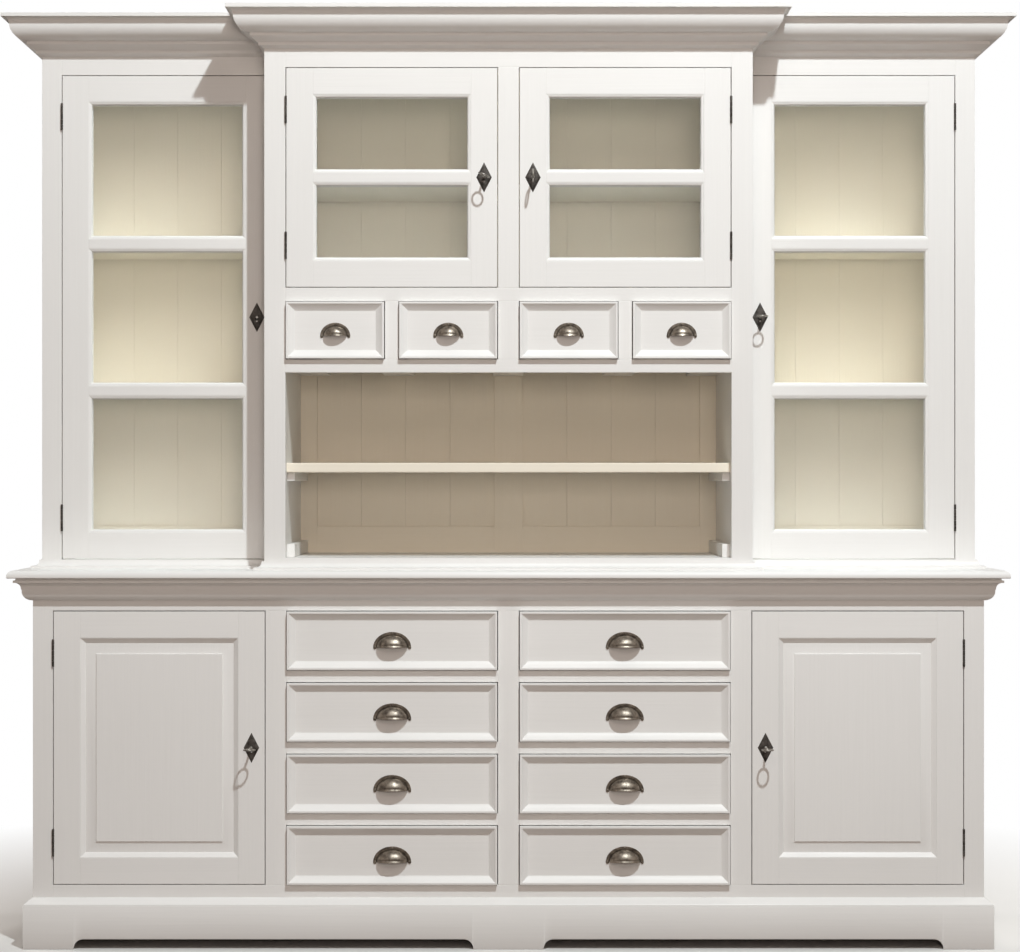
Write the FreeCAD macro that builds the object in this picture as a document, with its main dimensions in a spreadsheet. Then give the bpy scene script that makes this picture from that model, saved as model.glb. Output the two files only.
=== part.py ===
# A painted breakfront hutch: a base with cupboards and drawers, and an upper part with glazed doors,
# small drawers and an open niche. +Z is up, the front faces -Y, and the origin is on the floor under
# the middle of the cabinet's outline.
import FreeCAD, Part
import os
import Sketcher

doc = FreeCAD.newDocument("Hutch")

# Driving dimensions in millimetres.
sizes = {
    # the whole cabinet
    "carcase_width": 2200.0,
    "carcase_depth": 460.0,
    "worktop_height": 874.0,
    "upper_height": 1276.0,
    "centre_width": 1130.0,
    "side_setback": 115.0,
    # boards and clearances
    "side_board": 20.0,
    "carcase_board": 18.0,
    "face_board": 22.0,
    "shelf_board": 20.0,
    "base_back_board": 12.0,
    "door_gap": 2.0,
    "running_gap": 0.3,
    "overrun": 5.0,
    # plinth
    "plinth_height": 99.0,
    "plinth_board": 20.0,
    "plinth_cut_height": 23.0,
    "plinth_cut_arc": 22.0,
    "outer_foot": 117.0,
    "centre_foot": 162.0,
    "plinth_moulding_height": 17.5,
    "plinth_moulding_projection": 19.0,
    # base face frame
    "base_outer_stile": 46.0,
    "base_inner_stile": 48.0,
    "base_door_opening": 492.0,
    "base_sill": 46.5,
    "base_rail_lap": 39.0,
    "base_top_rail": 76.0,
    "base_drawer_rail": 27.0,
    "stretcher_depth": 80.0,
    # worktop and the moulding under it
    "worktop_thickness": 18.0,
    "worktop_overhang": 52.0,
    "worktop_moulding_height": 52.0,
    "worktop_moulding_projection": 42.0,
    # upper face frames
    "upper_outer_stile": 46.0,
    "centre_outer_stile": 49.0,
    "centre_mid_stile": 48.0,
    "small_drawer_stile": 31.0,
    "side_sill": 21.0,
    "niche_sill": 28.0,
    "niche_height": 429.0,
    "niche_head_rail": 30.0,
    "small_drawer_opening": 135.0,
    "centre_door_sill": 31.0,
    "frieze": 113.0,
    "upper_base_moulding_height": 20.0,
    "upper_base_moulding_projection": 23.0,
    "cornice_height": 90.0,
    "cornice_projection": 82.0,
    "cornice_rise": 20.0,
    # framed and planked back of the upper part
    "back_frame_board": 25.0,
    "back_stile": 40.0,
    "back_mid_stile": 70.0,
    "back_rail": 65.0,
    "plank_thickness": 14.0,
    "plank_recess": 6.0,
    "plank_joint": 0.6,
    # niche and shelves
    "niche_lining": 12.0,
    "niche_shelf_height": 198.0,
    "niche_shelf_setback": 30.0,
    "cleat_width": 18.0,
    "cleat_height": 20.0,
    "cleat_setback": 15.0,
    "batten_height": 31.0,
    "shelf_setback": 25.0,
    # drawers
    "drawer_front_board": 20.0,
    "drawer_moulding_proud": 12.0,
    "drawer_moulding_width": 20.5,
    "drawer_side": 12.0,
    "drawer_bottom": 6.0,
    "drawer_bottom_rise": 8.0,
    "base_drawer_length": 390.0,
    "base_drawer_side_height": 112.0,
    "small_drawer_length": 330.0,
    "small_drawer_side_height": 100.0,
    "base_runner_width": 36.0,
    "base_runner_height": 20.0,
    "small_runner_width": 75.0,
    "small_runner_height": 20.0,
    # cup pulls
    "big_pull_width": 88.0,
    "big_pull_height": 40.0,
    "big_pull_depth": 24.0,
    "small_pull_width": 70.0,
    "small_pull_height": 35.0,
    "small_pull_depth": 20.0,
    "pull_wall": 1.6,
    "pull_lip_rise": 4.0,
    "pull_flange_width": 7.5,
    "pull_flange_thickness": 2.0,
    "pull_screw_radius": 2.3,
    "pull_screw_tip_radius": 1.7,
    "pull_screw_height": 1.2,
    # doors
    "base_door_stile": 61.0,
    "base_door_rail": 61.0,
    "sticking_width": 11.5,
    "panel_border": 37.0,
    "panel_step": 1.5,
    "panel_bevel_drop": 7.0,
    "panel_set_back": 2.0,
    "panel_tongue": 6.0,
    "panel_groove": 9.0,
    "panel_play": 0.2,
    "glazed_hinge_stile": 61.0,
    "tall_lock_stile": 53.0,
    "centre_lock_stile": 61.0,
    "glazed_rail": 60.0,
    "glazing_bar": 22.0,
    "bead_width": 8.5,
    "bead_depth": 9.0,
    "glass": 3.0,
    # butt hinges
    "hinge_length": 63.5,
    "hinge_inset": 96.0,
    "hinge_barrel_radius": 2.75,
    "hinge_stand_off": 0.15,
    "hinge_leaf_width": 16.0,
    "hinge_leaf_thickness": 0.9,
    "hinge_pin_radius": 1.3,
    "pin_play": 0.05,
    "knuckle_play": 0.15,
    # locks and keys
    "escutcheon_height": 70.0,
    "escutcheon_width": 36.0,
    "escutcheon_thickness": 3.0,
    "keyhole_radius": 4.0,
    "keyhole_slot": 4.0,
    "keyhole_drop": 11.0,
    "lock_barrel_radius": 8.0,
    "lock_barrel_play": 0.1,
    "key_shank_radius": 2.6,
    "key_play": 0.08,
    "key_stem": 33.0,
    "key_bow_width": 29.0,
    "key_bow_length": 33.0,
    "key_wire_radius": 2.2,
    "key_collar_radius": 4.2,
    "key_collar_length": 3.0,
    "key_collar_place": 9.0,
    "lock_tongue_reach": 10.0,
    "lock_tongue_width": 12.0,
    "lock_tongue_thickness": 2.4,
    "lock_tongue_gap": 1.0,
    "stop_strip_width": 12.0,
    "stop_strip_depth": 12.0,
}

sheet = doc.addObject("Spreadsheet::Sheet", "Sizes")
for row, (name, value) in enumerate(sizes.items(), start=1):
    sheet.set(f"A{row}", name)
    sheet.set(f"B{row}", str(value))
    sheet.setAlias(f"B{row}", name)
doc.recompute()


def number(term):
    return term.value if isinstance(term, Size) else term


def words(term):
    return term.formula if isinstance(term, Size) else repr(term)


class Size:
    # A length with its value now and the formula that follows the sheet.
    def __init__(self, value, formula):
        self.value = value
        self.formula = formula

    def __add__(self, other):
        return Size(self.value + number(other), f"({self.formula} + {words(other)})")

    def __sub__(self, other):
        return Size(self.value - number(other), f"({self.formula} - {words(other)})")

    def __mul__(self, share):
        return Size(self.value * share, f"({self.formula} * {words(share)})")

    def __truediv__(self, count):
        return Size(self.value / count, f"({self.formula} / {words(count)})")

    def __neg__(self):
        return Size(-self.value, f"(-{self.formula})")


class Sheet:
    pass


dim = Sheet()
for name, value in sizes.items():
    setattr(dim, name, Size(value, f"Sizes.{name}"))
zero = Size(0.0, "0")

# Shares of a moulding's projection and height, from the wall outwards and upwards. The third figure
# tells how the edge to the next point runs: 0 straight, 1 swelling outwards, -1 hollow.
cornice_shares = [
    (0.0, 0.0, 0), (0.155, 0.068, 0), (0.155, 0.143, 0), (0.372, 0.28, 0), (0.372, 0.354, 1),
    (0.8, 0.79, -1), (0.98, 0.91, 0), (1.0, 0.91, 0), (1.0, 1.0, 0),
]
worktop_moulding_shares = [
    (0.12, 0.0, 1), (0.6, 0.53, -1), (0.95, 0.8, 0), (1.0, 0.8, 0), (1.0, 0.9, 0),
    (0.81, 0.9, 0), (0.81, 1.0, 0),
]
upper_base_moulding_shares = [
    (1.0, 0.0, 0), (1.0, 0.3, 0), (0.87, 0.3, -1), (0.26, 0.85, 0), (0.26, 1.0, 0),
]
plinth_moulding_shares = [
    (1.0, 0.0, 0), (1.0, 0.12, 0), (0.95, 0.21, 0), (0.85, 0.3, 0), (0.1, 1.0, 0),
]
# Shares of a drawer moulding's proud height and width, from its outer edge inwards.
drawer_moulding_shares = [
    (0.0, 0.0, 0), (1.0, 0.0, 0), (1.0, 0.3, -1), (0.5, 0.62, 1), (0.08, 0.97, 0), (0.0, 1.0, 0),
]
# Shares of a glazing bead's depth and width, from the face of the door inwards.
bead_shares = [
    (0.0, 0.0, 0), (0.0, 0.15, 0), (0.12, 0.25, 1), (0.85, 1.0, 0), (1.0, 1.0, 0), (1.0, 0.0, 0),
]
# Shares of the depth and width of the sloping edge round a panel, from the face of the door inwards.
sticking_shares = [
    (0.0, 0.0, 0), (0.0, 0.07, 0), (0.12, 0.12, 0), (0.82, 0.93, 0), (1.0, 1.0, 0), (1.0, 0.0, 0),
]
quarter_turn_share = 0.7072
worktop_nosing_share = 0.75
worktop_arris_share = 0.14
escutcheon_taper = 45.0
knuckle_count = 5
plank_count = 4
drawer_row_count = 4
tall_pane_count = 3
centre_pane_count = 2
pull_screw_top_share = 0.906
pull_screw_side_share = 0.915
pull_screw_low_share = 0.12
bow_turns = {"left_base": 0, "right_base": 0, "right_tall": 0, "left_centre": 25, "right_centre": 90}

# Planes that several pieces share.
half_width = dim.carcase_width / 2
half_centre = dim.centre_width / 2
front = (dim.cornice_projection - dim.carcase_depth) / 2
back = (dim.cornice_projection + dim.carcase_depth) / 2
frame_back = front + dim.face_board
side_front = front + dim.side_setback
side_frame_back = side_front + dim.face_board
back_face = back - dim.back_frame_board
inner_side = half_width - dim.side_board
worktop_top = dim.worktop_height
worktop_bottom = worktop_top - dim.worktop_thickness
upper_top = worktop_top + dim.upper_height
base_bottom = dim.plinth_height + dim.base_sill
base_head = worktop_bottom - dim.base_top_rail
rail_foot = dim.plinth_height - dim.base_rail_lap
upper_head = upper_top - dim.frieze
niche_floor = worktop_top + dim.niche_sill
niche_head = niche_floor + dim.niche_height
small_bottom = niche_head + dim.niche_head_rail
small_head = small_bottom + dim.small_drawer_opening
centre_sill = small_head + dim.centre_door_sill
centre_inner = half_centre - dim.centre_outer_stile
centre_side_inner = half_centre - dim.carcase_board
half_mid = dim.centre_mid_stile / 2
half_inner_stile = dim.base_inner_stile / 2
base_outer = half_width - dim.base_outer_stile
base_stile_outer = base_outer - dim.base_door_opening
base_stile_inner = base_stile_outer - dim.base_inner_stile
side_outer = half_width - dim.upper_outer_stile
sides = {"left": -1, "right": 1}


def across(sign, near, far):
    # The span between two distances from the middle plane, on the left or on the right.
    return (near, far) if sign > 0 else (-far, -near)


def around(middle, width):
    return (middle - width / 2, middle + width / 2)


def board(name, x, y, z):
    box = doc.addObject("Part::Box", name)
    for side, axis, (low, high) in zip(("Length", "Width", "Height"), "xyz", (x, y, z)):
        box.setExpression(side, (high - low).formula)
        box.setExpression("Placement.Base." + axis, low.formula)
    return box


def place(item, x, y, z):
    for axis, value in zip("xyz", (x, y, z)):
        item.setExpression("Placement.Base." + axis, value.formula)
    return item


def rod(name, radius, length, x, y, z, along_depth=False):
    item = doc.addObject("Part::Cylinder", name)
    if along_depth:
        item.Placement.Rotation = FreeCAD.Rotation(FreeCAD.Vector(1, 0, 0), -90)
    item.setExpression("Radius", radius.formula)
    item.setExpression("Height", length.formula)
    return place(item, x, y, z)


def cut(name, base, tool):
    item = doc.addObject("Part::Cut", name)
    item.Base = base
    item.Tool = tool
    return item


def fuse(name, pieces):
    item = doc.addObject("Part::MultiFuse", name)
    item.Shapes = pieces
    return item


nodes = []


def node(name, pieces):
    # One node of the part: its pieces stay separate solids.
    item = doc.addObject("Part::Compound", name)
    item.Links = pieces
    item.Label = name
    nodes.append(item)
    return item


def own_plane(body, role):
    return next(item for item in body.Origin.OriginFeatures if item.Role == role)


def new_sketch(body, name, role):
    sketch = body.newObject("Sketcher::SketchObject", name)
    sketch.AttachmentSupport = (own_plane(body, role), [""])
    sketch.MapMode = "FlatFace"
    return sketch


def bind(sketch, rules):
    # Adds the dimensions in one go, then ties each to its formula.
    first = sketch.ConstraintCount
    sketch.addConstraint([rule for rule, size in rules])
    for index, (rule, size) in enumerate(rules, start=first):
        if size is not None:
            sketch.setExpression(f"Constraints[{index}]", size.formula)


def chord(start, end):
    run = end[0] - start[0]
    rise = end[1] - start[1]
    length = (run.value ** 2 + rise.value ** 2) ** 0.5
    return Size(length, f"sqrt({run.formula}^2 + {rise.formula}^2)")


def outline(body, name, role, corners, bends=None):
    # A closed outline through the corners. A bend of 1 puts a quarter round on the right-hand side of
    # the edge that leaves the corner, a bend of -1 on its left-hand side.
    sketch = new_sketch(body, name, role)
    bends = bends or [0] * len(corners)
    edges = []
    rules = []
    for index, (corner, bend) in enumerate(zip(corners, bends)):
        after = corners[(index + 1) % len(corners)]
        start = FreeCAD.Vector(corner[0].value, corner[1].value, 0)
        end = FreeCAD.Vector(after[0].value, after[1].value, 0)
        if bend:
            run = end - start
            sagitta = FreeCAD.Vector(run.y, -run.x, 0) * (bend * (2 ** 0.5 - 1) / 2)
            middle = (start + end) * 0.5 + sagitta
            forward = bend > 0
            arc = Part.Arc(start, middle, end) if forward else Part.Arc(end, middle, start)
            edge = sketch.addGeometry(arc)
            radius = chord(corner, after) * quarter_turn_share
            rules.append((Sketcher.Constraint("Radius", edge, radius.value), radius))
            edges.append((edge, 1, 2) if forward else (edge, 2, 1))
        else:
            edges.append((sketch.addGeometry(Part.LineSegment(start, end)), 1, 2))
    for index, (corner, (edge, first, last)) in enumerate(zip(corners, edges)):
        before, before_first, before_last = edges[index - 1]
        rules.append((Sketcher.Constraint("Coincident", before, before_last, edge, first), None))
        for kind, size in zip(("DistanceX", "DistanceY"), corner):
            rules.append((Sketcher.Constraint(kind, -1, 1, edge, first, size.value), size))
    bind(sketch, rules)
    return sketch


def disc(body, name, role, across_size, radius):
    sketch = new_sketch(body, name, role)
    circle = Part.Circle(FreeCAD.Vector(across_size.value, 0, 0), FreeCAD.Vector(0, 0, 1), radius.value)
    edge = sketch.addGeometry(circle)
    bind(sketch, [
        (Sketcher.Constraint("DistanceX", -1, 1, edge, 3, across_size.value), across_size),
        (Sketcher.Constraint("PointOnObject", edge, 3, -1), None),
        (Sketcher.Constraint("Radius", edge, radius.value), radius),
    ])
    return sketch


def pad(body, sketch, length):
    feature = body.newObject("PartDesign::Pad", sketch.Name + "_pad")
    feature.Profile = sketch
    feature.setExpression("Length", length.formula)
    return feature


def pocket_through(body, sketch):
    feature = body.newObject("PartDesign::Pocket", sketch.Name + "_pocket")
    feature.Profile = sketch
    feature.Type = "ThroughAll"
    feature.Midplane = True
    return feature


def pipe(body, profile, path, edge_count):
    feature = body.newObject("PartDesign::AdditivePipe", path.Name + "_pipe")
    feature.Profile = profile
    feature.Spine = (path, [f"Edge{index + 1}" for index in range(edge_count)])
    feature.Mode = "Standard"
    feature.Transition = "Right corner"
    return feature


def moulding_run(name, shares, projection, height, length, ends, turn, corner):
    # One length of moulding along +X with its back on y = 0. An end of 1 is mitred round an outer
    # corner, -1 into an inner corner, and 0 is square.
    body = doc.addObject("PartDesign::Body", name)
    reach = projection + dim.overrun
    start, finish = ends
    footprint = outline(body, name + "_footprint", "XY_Plane", [
        (-(reach * start), -reach), (length + reach * finish, -reach), (length, zero), (zero, zero),
    ])
    pad(body, footprint, height)
    edge = [(-(projection * out), height * up) for out, up, bend in shares]
    edge[-1] = (edge[-1][0], height + dim.overrun)
    foot = (edge[0][0], -dim.overrun)
    far = -(reach + dim.overrun)
    waste = outline(
        body, name + "_waste", "YZ_Plane",
        [foot] + edge + [(far, height + dim.overrun), (far, -dim.overrun)],
        [0] + [-bend for out, up, bend in shares] + [0, 0],
    )
    pocket_through(body, waste)
    body.Placement.Rotation = FreeCAD.Rotation(FreeCAD.Vector(0, 0, 1), turn)
    return place(body, *corner)


def straight_trim(name, shares, projection, height, foot):
    # Moulding along both sides and the front of the base.
    run = (shares, projection, height)
    return [
        moulding_run(name + "_left", *run, dim.carcase_depth, (0, 1), -90, (-half_width, back, foot)),
        moulding_run(name + "_front", *run, dim.carcase_width, (1, 1), 0, (-half_width, front, foot)),
        moulding_run(name + "_right", *run, dim.carcase_depth, (1, 0), 90, (half_width, front, foot)),
    ]


def breakfront_trim(name, shares, projection, height, foot):
    # Moulding round the upper part, in and out at the forward centre section.
    run = (shares, projection, height)
    depth = dim.carcase_depth - dim.side_setback
    wing = half_width - half_centre
    return [
        moulding_run(name + "_left_side", *run, depth, (0, 1), -90, (-half_width, back, foot)),
        moulding_run(name + "_left_front", *run, wing, (1, -1), 0, (-half_width, side_front, foot)),
        moulding_run(name + "_left_return", *run, dim.side_setback, (-1, 1), -90,
                     (-half_centre, side_front, foot)),
        moulding_run(name + "_centre", *run, dim.centre_width, (1, 1), 0, (-half_centre, front, foot)),
        moulding_run(name + "_right_return", *run, dim.side_setback, (1, -1), 90,
                     (half_centre, front, foot)),
        moulding_run(name + "_right_front", *run, wing, (-1, 1), 0, (half_centre, side_front, foot)),
        moulding_run(name + "_right_side", *run, depth, (1, 0), 90, (half_width, side_front, foot)),
    ]


def ring(name, shares, depth, inward, width, height, corner):
    # A mitred frame of moulding in the plane of the front. The corner is the middle of its lower edge,
    # and a share of depth runs along Y.
    body = doc.addObject("PartDesign::Body", name)
    half = width / 2
    path = outline(body, name + "_path", "XZ_Plane", [
        (zero, zero), (half, zero), (half, height), (-half, height), (-half, zero),
    ])
    profile = outline(
        body, name + "_profile", "YZ_Plane",
        [(depth * deep, inward * wide) for deep, wide, bend in shares],
        [-bend for deep, wide, bend in shares],
    )
    pipe(body, profile, path, 5)
    return place(body, *corner)


# Plinth: a front board with cut-outs between its feet, two side boards and a back board.
def make_plinth():
    body = doc.addObject("PartDesign::Body", "plinth_front")
    reach = half_width + dim.plinth_board
    foot = reach - dim.outer_foot
    foot_arc = foot - dim.plinth_cut_arc
    middle = dim.centre_foot / 2
    middle_arc = middle + dim.plinth_cut_arc
    lift = dim.plinth_cut_height
    shape = outline(
        body, "plinth_front_outline", "XZ_Plane",
        [(-reach, zero), (-foot, zero), (-foot_arc, lift), (-middle_arc, lift), (-middle, zero),
         (middle, zero), (middle_arc, lift), (foot_arc, lift), (foot, zero), (reach, zero),
         (reach, dim.plinth_height), (-reach, dim.plinth_height)],
        [0, -1, 0, -1, 0, -1, 0, -1, 0, 0, 0, 0],
    )
    pad(body, shape, dim.plinth_board)
    place(body, zero, front, zero)
    standing = (zero, dim.plinth_height)
    pieces = [body]
    for side, sign in sides.items():
        span = across(sign, half_width, half_width + dim.plinth_board)
        pieces.append(board(f"plinth_{side}", span, (front, back), standing))
    pieces.append(board("plinth_back", (-inner_side, inner_side), (back - dim.plinth_board, back), standing))
    node("plinth_boards", pieces)


def make_trim():
    moulding_foot = worktop_bottom - dim.worktop_moulding_height
    pieces = straight_trim("plinth_moulding", plinth_moulding_shares, dim.plinth_moulding_projection,
                           dim.plinth_moulding_height, dim.plinth_height)
    pieces += straight_trim("worktop_moulding", worktop_moulding_shares, dim.worktop_moulding_projection,
                            dim.worktop_moulding_height, moulding_foot)
    pieces += breakfront_trim("upper_base_moulding", upper_base_moulding_shares,
                              dim.upper_base_moulding_projection, dim.upper_base_moulding_height,
                              worktop_top)
    node("trim_mouldings", pieces)
    node("cornices", breakfront_trim("cornice", cornice_shares, dim.cornice_projection,
                                     dim.cornice_height,
                                     upper_top + dim.cornice_rise - dim.cornice_height))


def make_base():
    deep = (frame_back, back - dim.base_back_board)
    floor = (base_bottom - dim.carcase_board, base_bottom)
    stretcher = (worktop_bottom - dim.carcase_board, worktop_bottom)
    wide = (-inner_side, inner_side)
    pieces = []
    for side, sign in sides.items():
        span = across(sign, inner_side, half_width)
        pieces.append(board(f"base_side_{side}", span, (frame_back, back), (zero, worktop_bottom)))
    stile_middle = base_stile_outer - half_inner_stile
    for label, middle in (("left", -stile_middle), ("middle", zero), ("right", stile_middle)):
        pieces.append(board(f"base_partition_{label}", around(middle, dim.carcase_board), deep,
                            (base_bottom, stretcher[0])))
    pieces.append(board("base_bottom", wide, deep, floor))
    pieces.append(board("base_front_stretcher", wide, (deep[0], deep[0] + dim.stretcher_depth), stretcher))
    pieces.append(board("base_back_stretcher", wide, (deep[1] - dim.stretcher_depth, deep[1]), stretcher))
    pieces.append(board("base_back", wide, (deep[1], back), (dim.plinth_height, worktop_bottom)))
    node("base_carcase", pieces)

    thick = (front, frame_back)
    pieces = []
    for side, sign in sides.items():
        pieces.append(board(f"base_stile_outer_{side}", across(sign, base_outer, half_width), thick,
                            (rail_foot, worktop_bottom)))
        pieces.append(board(f"base_stile_inner_{side}", across(sign, base_stile_inner, base_stile_outer),
                            thick, (base_bottom, base_head)))
        for row in range(1, drawer_row_count):
            foot = drawer_foot(row) - dim.base_drawer_rail
            pieces.append(board(f"base_drawer_rail_{side}_{row}",
                                across(sign, half_inner_stile, base_stile_inner), thick,
                                (foot, drawer_foot(row))))
    pieces.append(board("base_stile_middle", (-half_inner_stile, half_inner_stile), thick,
                        (base_bottom, base_head)))
    pieces.append(board("base_rail_bottom", (-base_outer, base_outer), thick, (rail_foot, base_bottom)))
    pieces.append(board("base_rail_top", (-base_outer, base_outer), thick, (base_head, worktop_bottom)))
    node("base_face_frame", pieces)


def drawer_pitch():
    rails = dim.base_drawer_rail * (drawer_row_count - 1)
    return (base_head - base_bottom - rails) / drawer_row_count


def drawer_foot(row):
    # Lower edge of a base drawer's opening, counted from the floor up.
    return base_bottom + (drawer_pitch() + dim.base_drawer_rail) * row


def rounded_rim(body, name, base, height, radius_share):
    # Rounds the worktop's level edges at one height, except the one along the wall.
    doc.recompute()
    rims = []
    for index, edge in enumerate(base.Shape.Edges, start=1):
        offsets = [abs(vertex.Z - height.value) for vertex in edge.Vertexes]
        level = max(offsets) < dim.running_gap.value
        if level and edge.CenterOfMass.y < back.value - dim.overrun.value:
            rims.append(f"Edge{index}")
    rim = body.newObject("PartDesign::Fillet", name)
    rim.Base = (base, rims)
    rim.setExpression("Radius", (dim.worktop_thickness * radius_share).formula)
    return rim


def make_worktop():
    body = doc.addObject("PartDesign::Body", "worktop_board")
    reach = half_width + dim.worktop_overhang
    shape = outline(body, "worktop_outline", "XY_Plane", [
        (-reach, front - dim.worktop_overhang), (reach, front - dim.worktop_overhang), (reach, back),
        (-reach, back),
    ])
    slab = pad(body, shape, dim.worktop_thickness)
    nosing = rounded_rim(body, "worktop_nosing", slab, dim.worktop_thickness, worktop_nosing_share)
    rounded_rim(body, "worktop_arris", nosing, zero, worktop_arris_share)
    place(body, zero, zero, worktop_bottom)
    node("worktop", [body])


def make_upper_carcase():
    high = (worktop_top, upper_top)
    ceiling = (upper_top - dim.carcase_board, upper_top)
    pieces = []
    for side, sign in sides.items():
        wing = across(sign, half_centre, inner_side)
        deep = (side_frame_back, back_face)
        pieces.append(board(f"upper_side_{side}", across(sign, inner_side, half_width),
                            (side_frame_back, back), high))
        pieces.append(board(f"centre_side_{side}", across(sign, centre_side_inner, half_centre),
                            (frame_back, back), high))
        stop = across(sign, half_centre, half_centre + dim.stop_strip_width)
        stop_front = side_frame_back + dim.running_gap
        pieces.append(board(f"door_stop_{side}", stop, (stop_front, stop_front + dim.stop_strip_depth),
                            (worktop_top + dim.carcase_board, upper_top - dim.carcase_board)))
        pieces.append(board(f"upper_floor_{side}", wing, deep,
                            (worktop_top, worktop_top + dim.carcase_board)))
        pieces.append(board(f"upper_ceiling_{side}", wing, deep, ceiling))
        lining = across(sign, centre_inner, centre_inner + dim.niche_lining)
        pieces.append(board(f"niche_lining_{side}", lining, (frame_back, back_face),
                            (niche_floor, small_bottom - dim.small_runner_height)))
        cleat = across(sign, centre_inner - dim.cleat_width, centre_inner)
        shelf_foot = niche_floor + dim.niche_shelf_height
        cleat_depth = (front + dim.niche_shelf_setback + dim.cleat_setback, back_face)
        pieces.append(board(f"niche_cleat_{side}", cleat, cleat_depth,
                            (shelf_foot - dim.cleat_height, shelf_foot)))
        pieces.append(board(f"niche_batten_{side}", cleat, cleat_depth,
                            (niche_floor, niche_floor + dim.batten_height)))
    wide = (-centre_side_inner, centre_side_inner)
    deep = (frame_back, back_face)
    pieces.append(board("niche_floor", wide, deep, (niche_floor - dim.carcase_board, niche_floor)))
    pieces.append(board("centre_cabinet_floor", wide, deep, (centre_sill - dim.carcase_board, centre_sill)))
    pieces.append(board("centre_ceiling", wide, deep, ceiling))
    for label, middle in (("left", -small_stile_middle()), ("middle", zero), ("right", small_stile_middle())):
        pieces.append(board(f"small_drawer_divider_{label}", around(middle, dim.carcase_board), deep,
                            (small_bottom, centre_sill - dim.carcase_board)))
    node("upper_carcase", pieces)


def small_stile_middle():
    # Distance of the stiles between two small drawers from the middle plane.
    return (centre_inner + half_mid) / 2


def make_upper_frame():
    pieces = []
    thick = (side_front, side_frame_back)
    for side, sign in sides.items():
        wing = across(sign, half_centre, side_outer)
        pieces.append(board(f"upper_stile_{side}", across(sign, side_outer, half_width), thick,
                            (worktop_top, upper_top)))
        pieces.append(board(f"upper_sill_{side}", wing, thick, (worktop_top, worktop_top + dim.side_sill)))
        pieces.append(board(f"upper_frieze_{side}", wing, thick, (upper_head, upper_top)))
    thick = (front, frame_back)
    wide = (-centre_inner, centre_inner)
    mid = (-half_mid, half_mid)
    for side, sign in sides.items():
        pieces.append(board(f"centre_stile_{side}", across(sign, centre_inner, half_centre), thick,
                            (worktop_top, upper_top)))
        stile = around(small_stile_middle() * sign, dim.small_drawer_stile)
        pieces.append(board(f"small_drawer_stile_{side}", stile, thick, (small_bottom, small_head)))
    pieces.append(board("niche_sill_rail", wide, thick, (worktop_top, niche_floor)))
    pieces.append(board("niche_head_rail", wide, thick, (niche_head, small_bottom)))
    pieces.append(board("small_drawer_stile_middle", mid, thick, (small_bottom, small_head)))
    pieces.append(board("centre_door_sill", wide, thick, (small_head, centre_sill)))
    pieces.append(board("centre_stile_middle", mid, thick, (centre_sill, upper_head)))
    pieces.append(board("centre_frieze", wide, thick, (upper_head, upper_top)))
    node("upper_face_frame", pieces)


frame_pieces = []
plank_pieces = []


def planked_back(name, x, z):
    # Planks side by side in one opening of the back frame.
    plank_front = back_face + dim.plank_recess
    pitch = (x[1] - x[0]) / plank_count
    for index in range(plank_count):
        left = x[0] + pitch * index
        plank_pieces.append(board(f"{name}_plank_{index + 1}", (left, left + pitch - dim.plank_joint),
                                  (plank_front, plank_front + dim.plank_thickness), z))


def back_member(name, x, z):
    frame_pieces.append(board(name, x, (back_face, back), z))


def make_back():
    low = (worktop_top, niche_floor + dim.back_rail)
    high = (upper_top - dim.back_rail, upper_top)
    middle = (small_bottom, small_head)
    tall = (worktop_top, upper_top)
    for side, sign in sides.items():
        inner = (half_centre, half_centre + dim.back_stile)
        outer = (inner_side - dim.back_stile, inner_side)
        clear = across(sign, inner[1], outer[0])
        back_member(f"tall_back_stile_inner_{side}", across(sign, *inner), tall)
        back_member(f"tall_back_stile_outer_{side}", across(sign, *outer), tall)
        back_member(f"tall_back_rail_low_{side}", clear, low)
        back_member(f"tall_back_rail_high_{side}", clear, high)
        planked_back(f"tall_back_{side}", clear, (low[1], high[0]))
        half_back_stile = dim.back_mid_stile / 2
        edge = centre_inner - dim.back_stile
        clear = across(sign, half_back_stile, edge)
        back_member(f"centre_back_stile_{side}", across(sign, edge, centre_side_inner), tall)
        for label, span in (("low", low), ("middle", middle), ("high", high)):
            back_member(f"centre_back_rail_{label}_{side}", clear, span)
        planked_back(f"niche_back_{side}", clear, (low[1], middle[0]))
        planked_back(f"cabinet_back_{side}", clear, (middle[1], high[0]))
    back_member("centre_back_stile_middle", (-half_back_stile, half_back_stile), tall)
    node("back_frame", frame_pieces)
    node("back_planks", plank_pieces)


def make_shelves():
    pieces = []
    for side, sign in sides.items():
        for row in range(1, tall_pane_count):
            top = pane_foot(tall_door, row)
            pieces.append(board(f"tall_shelf_{side}_{row}", across(sign, half_centre, inner_side),
                                (side_frame_back + dim.shelf_setback, back_face),
                                (top - dim.shelf_board, top)))
    top = pane_foot(centre_door, 1)
    pieces.append(board("centre_shelf", (-centre_side_inner, centre_side_inner),
                        (frame_back + dim.shelf_setback, back_face), (top - dim.shelf_board, top)))
    foot = niche_floor + dim.niche_shelf_height
    pieces.append(board("niche_shelf", (-centre_inner, centre_inner),
                        (front + dim.niche_shelf_setback, back_face), (foot, foot + dim.face_board)))
    node("shelves", pieces)


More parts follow.
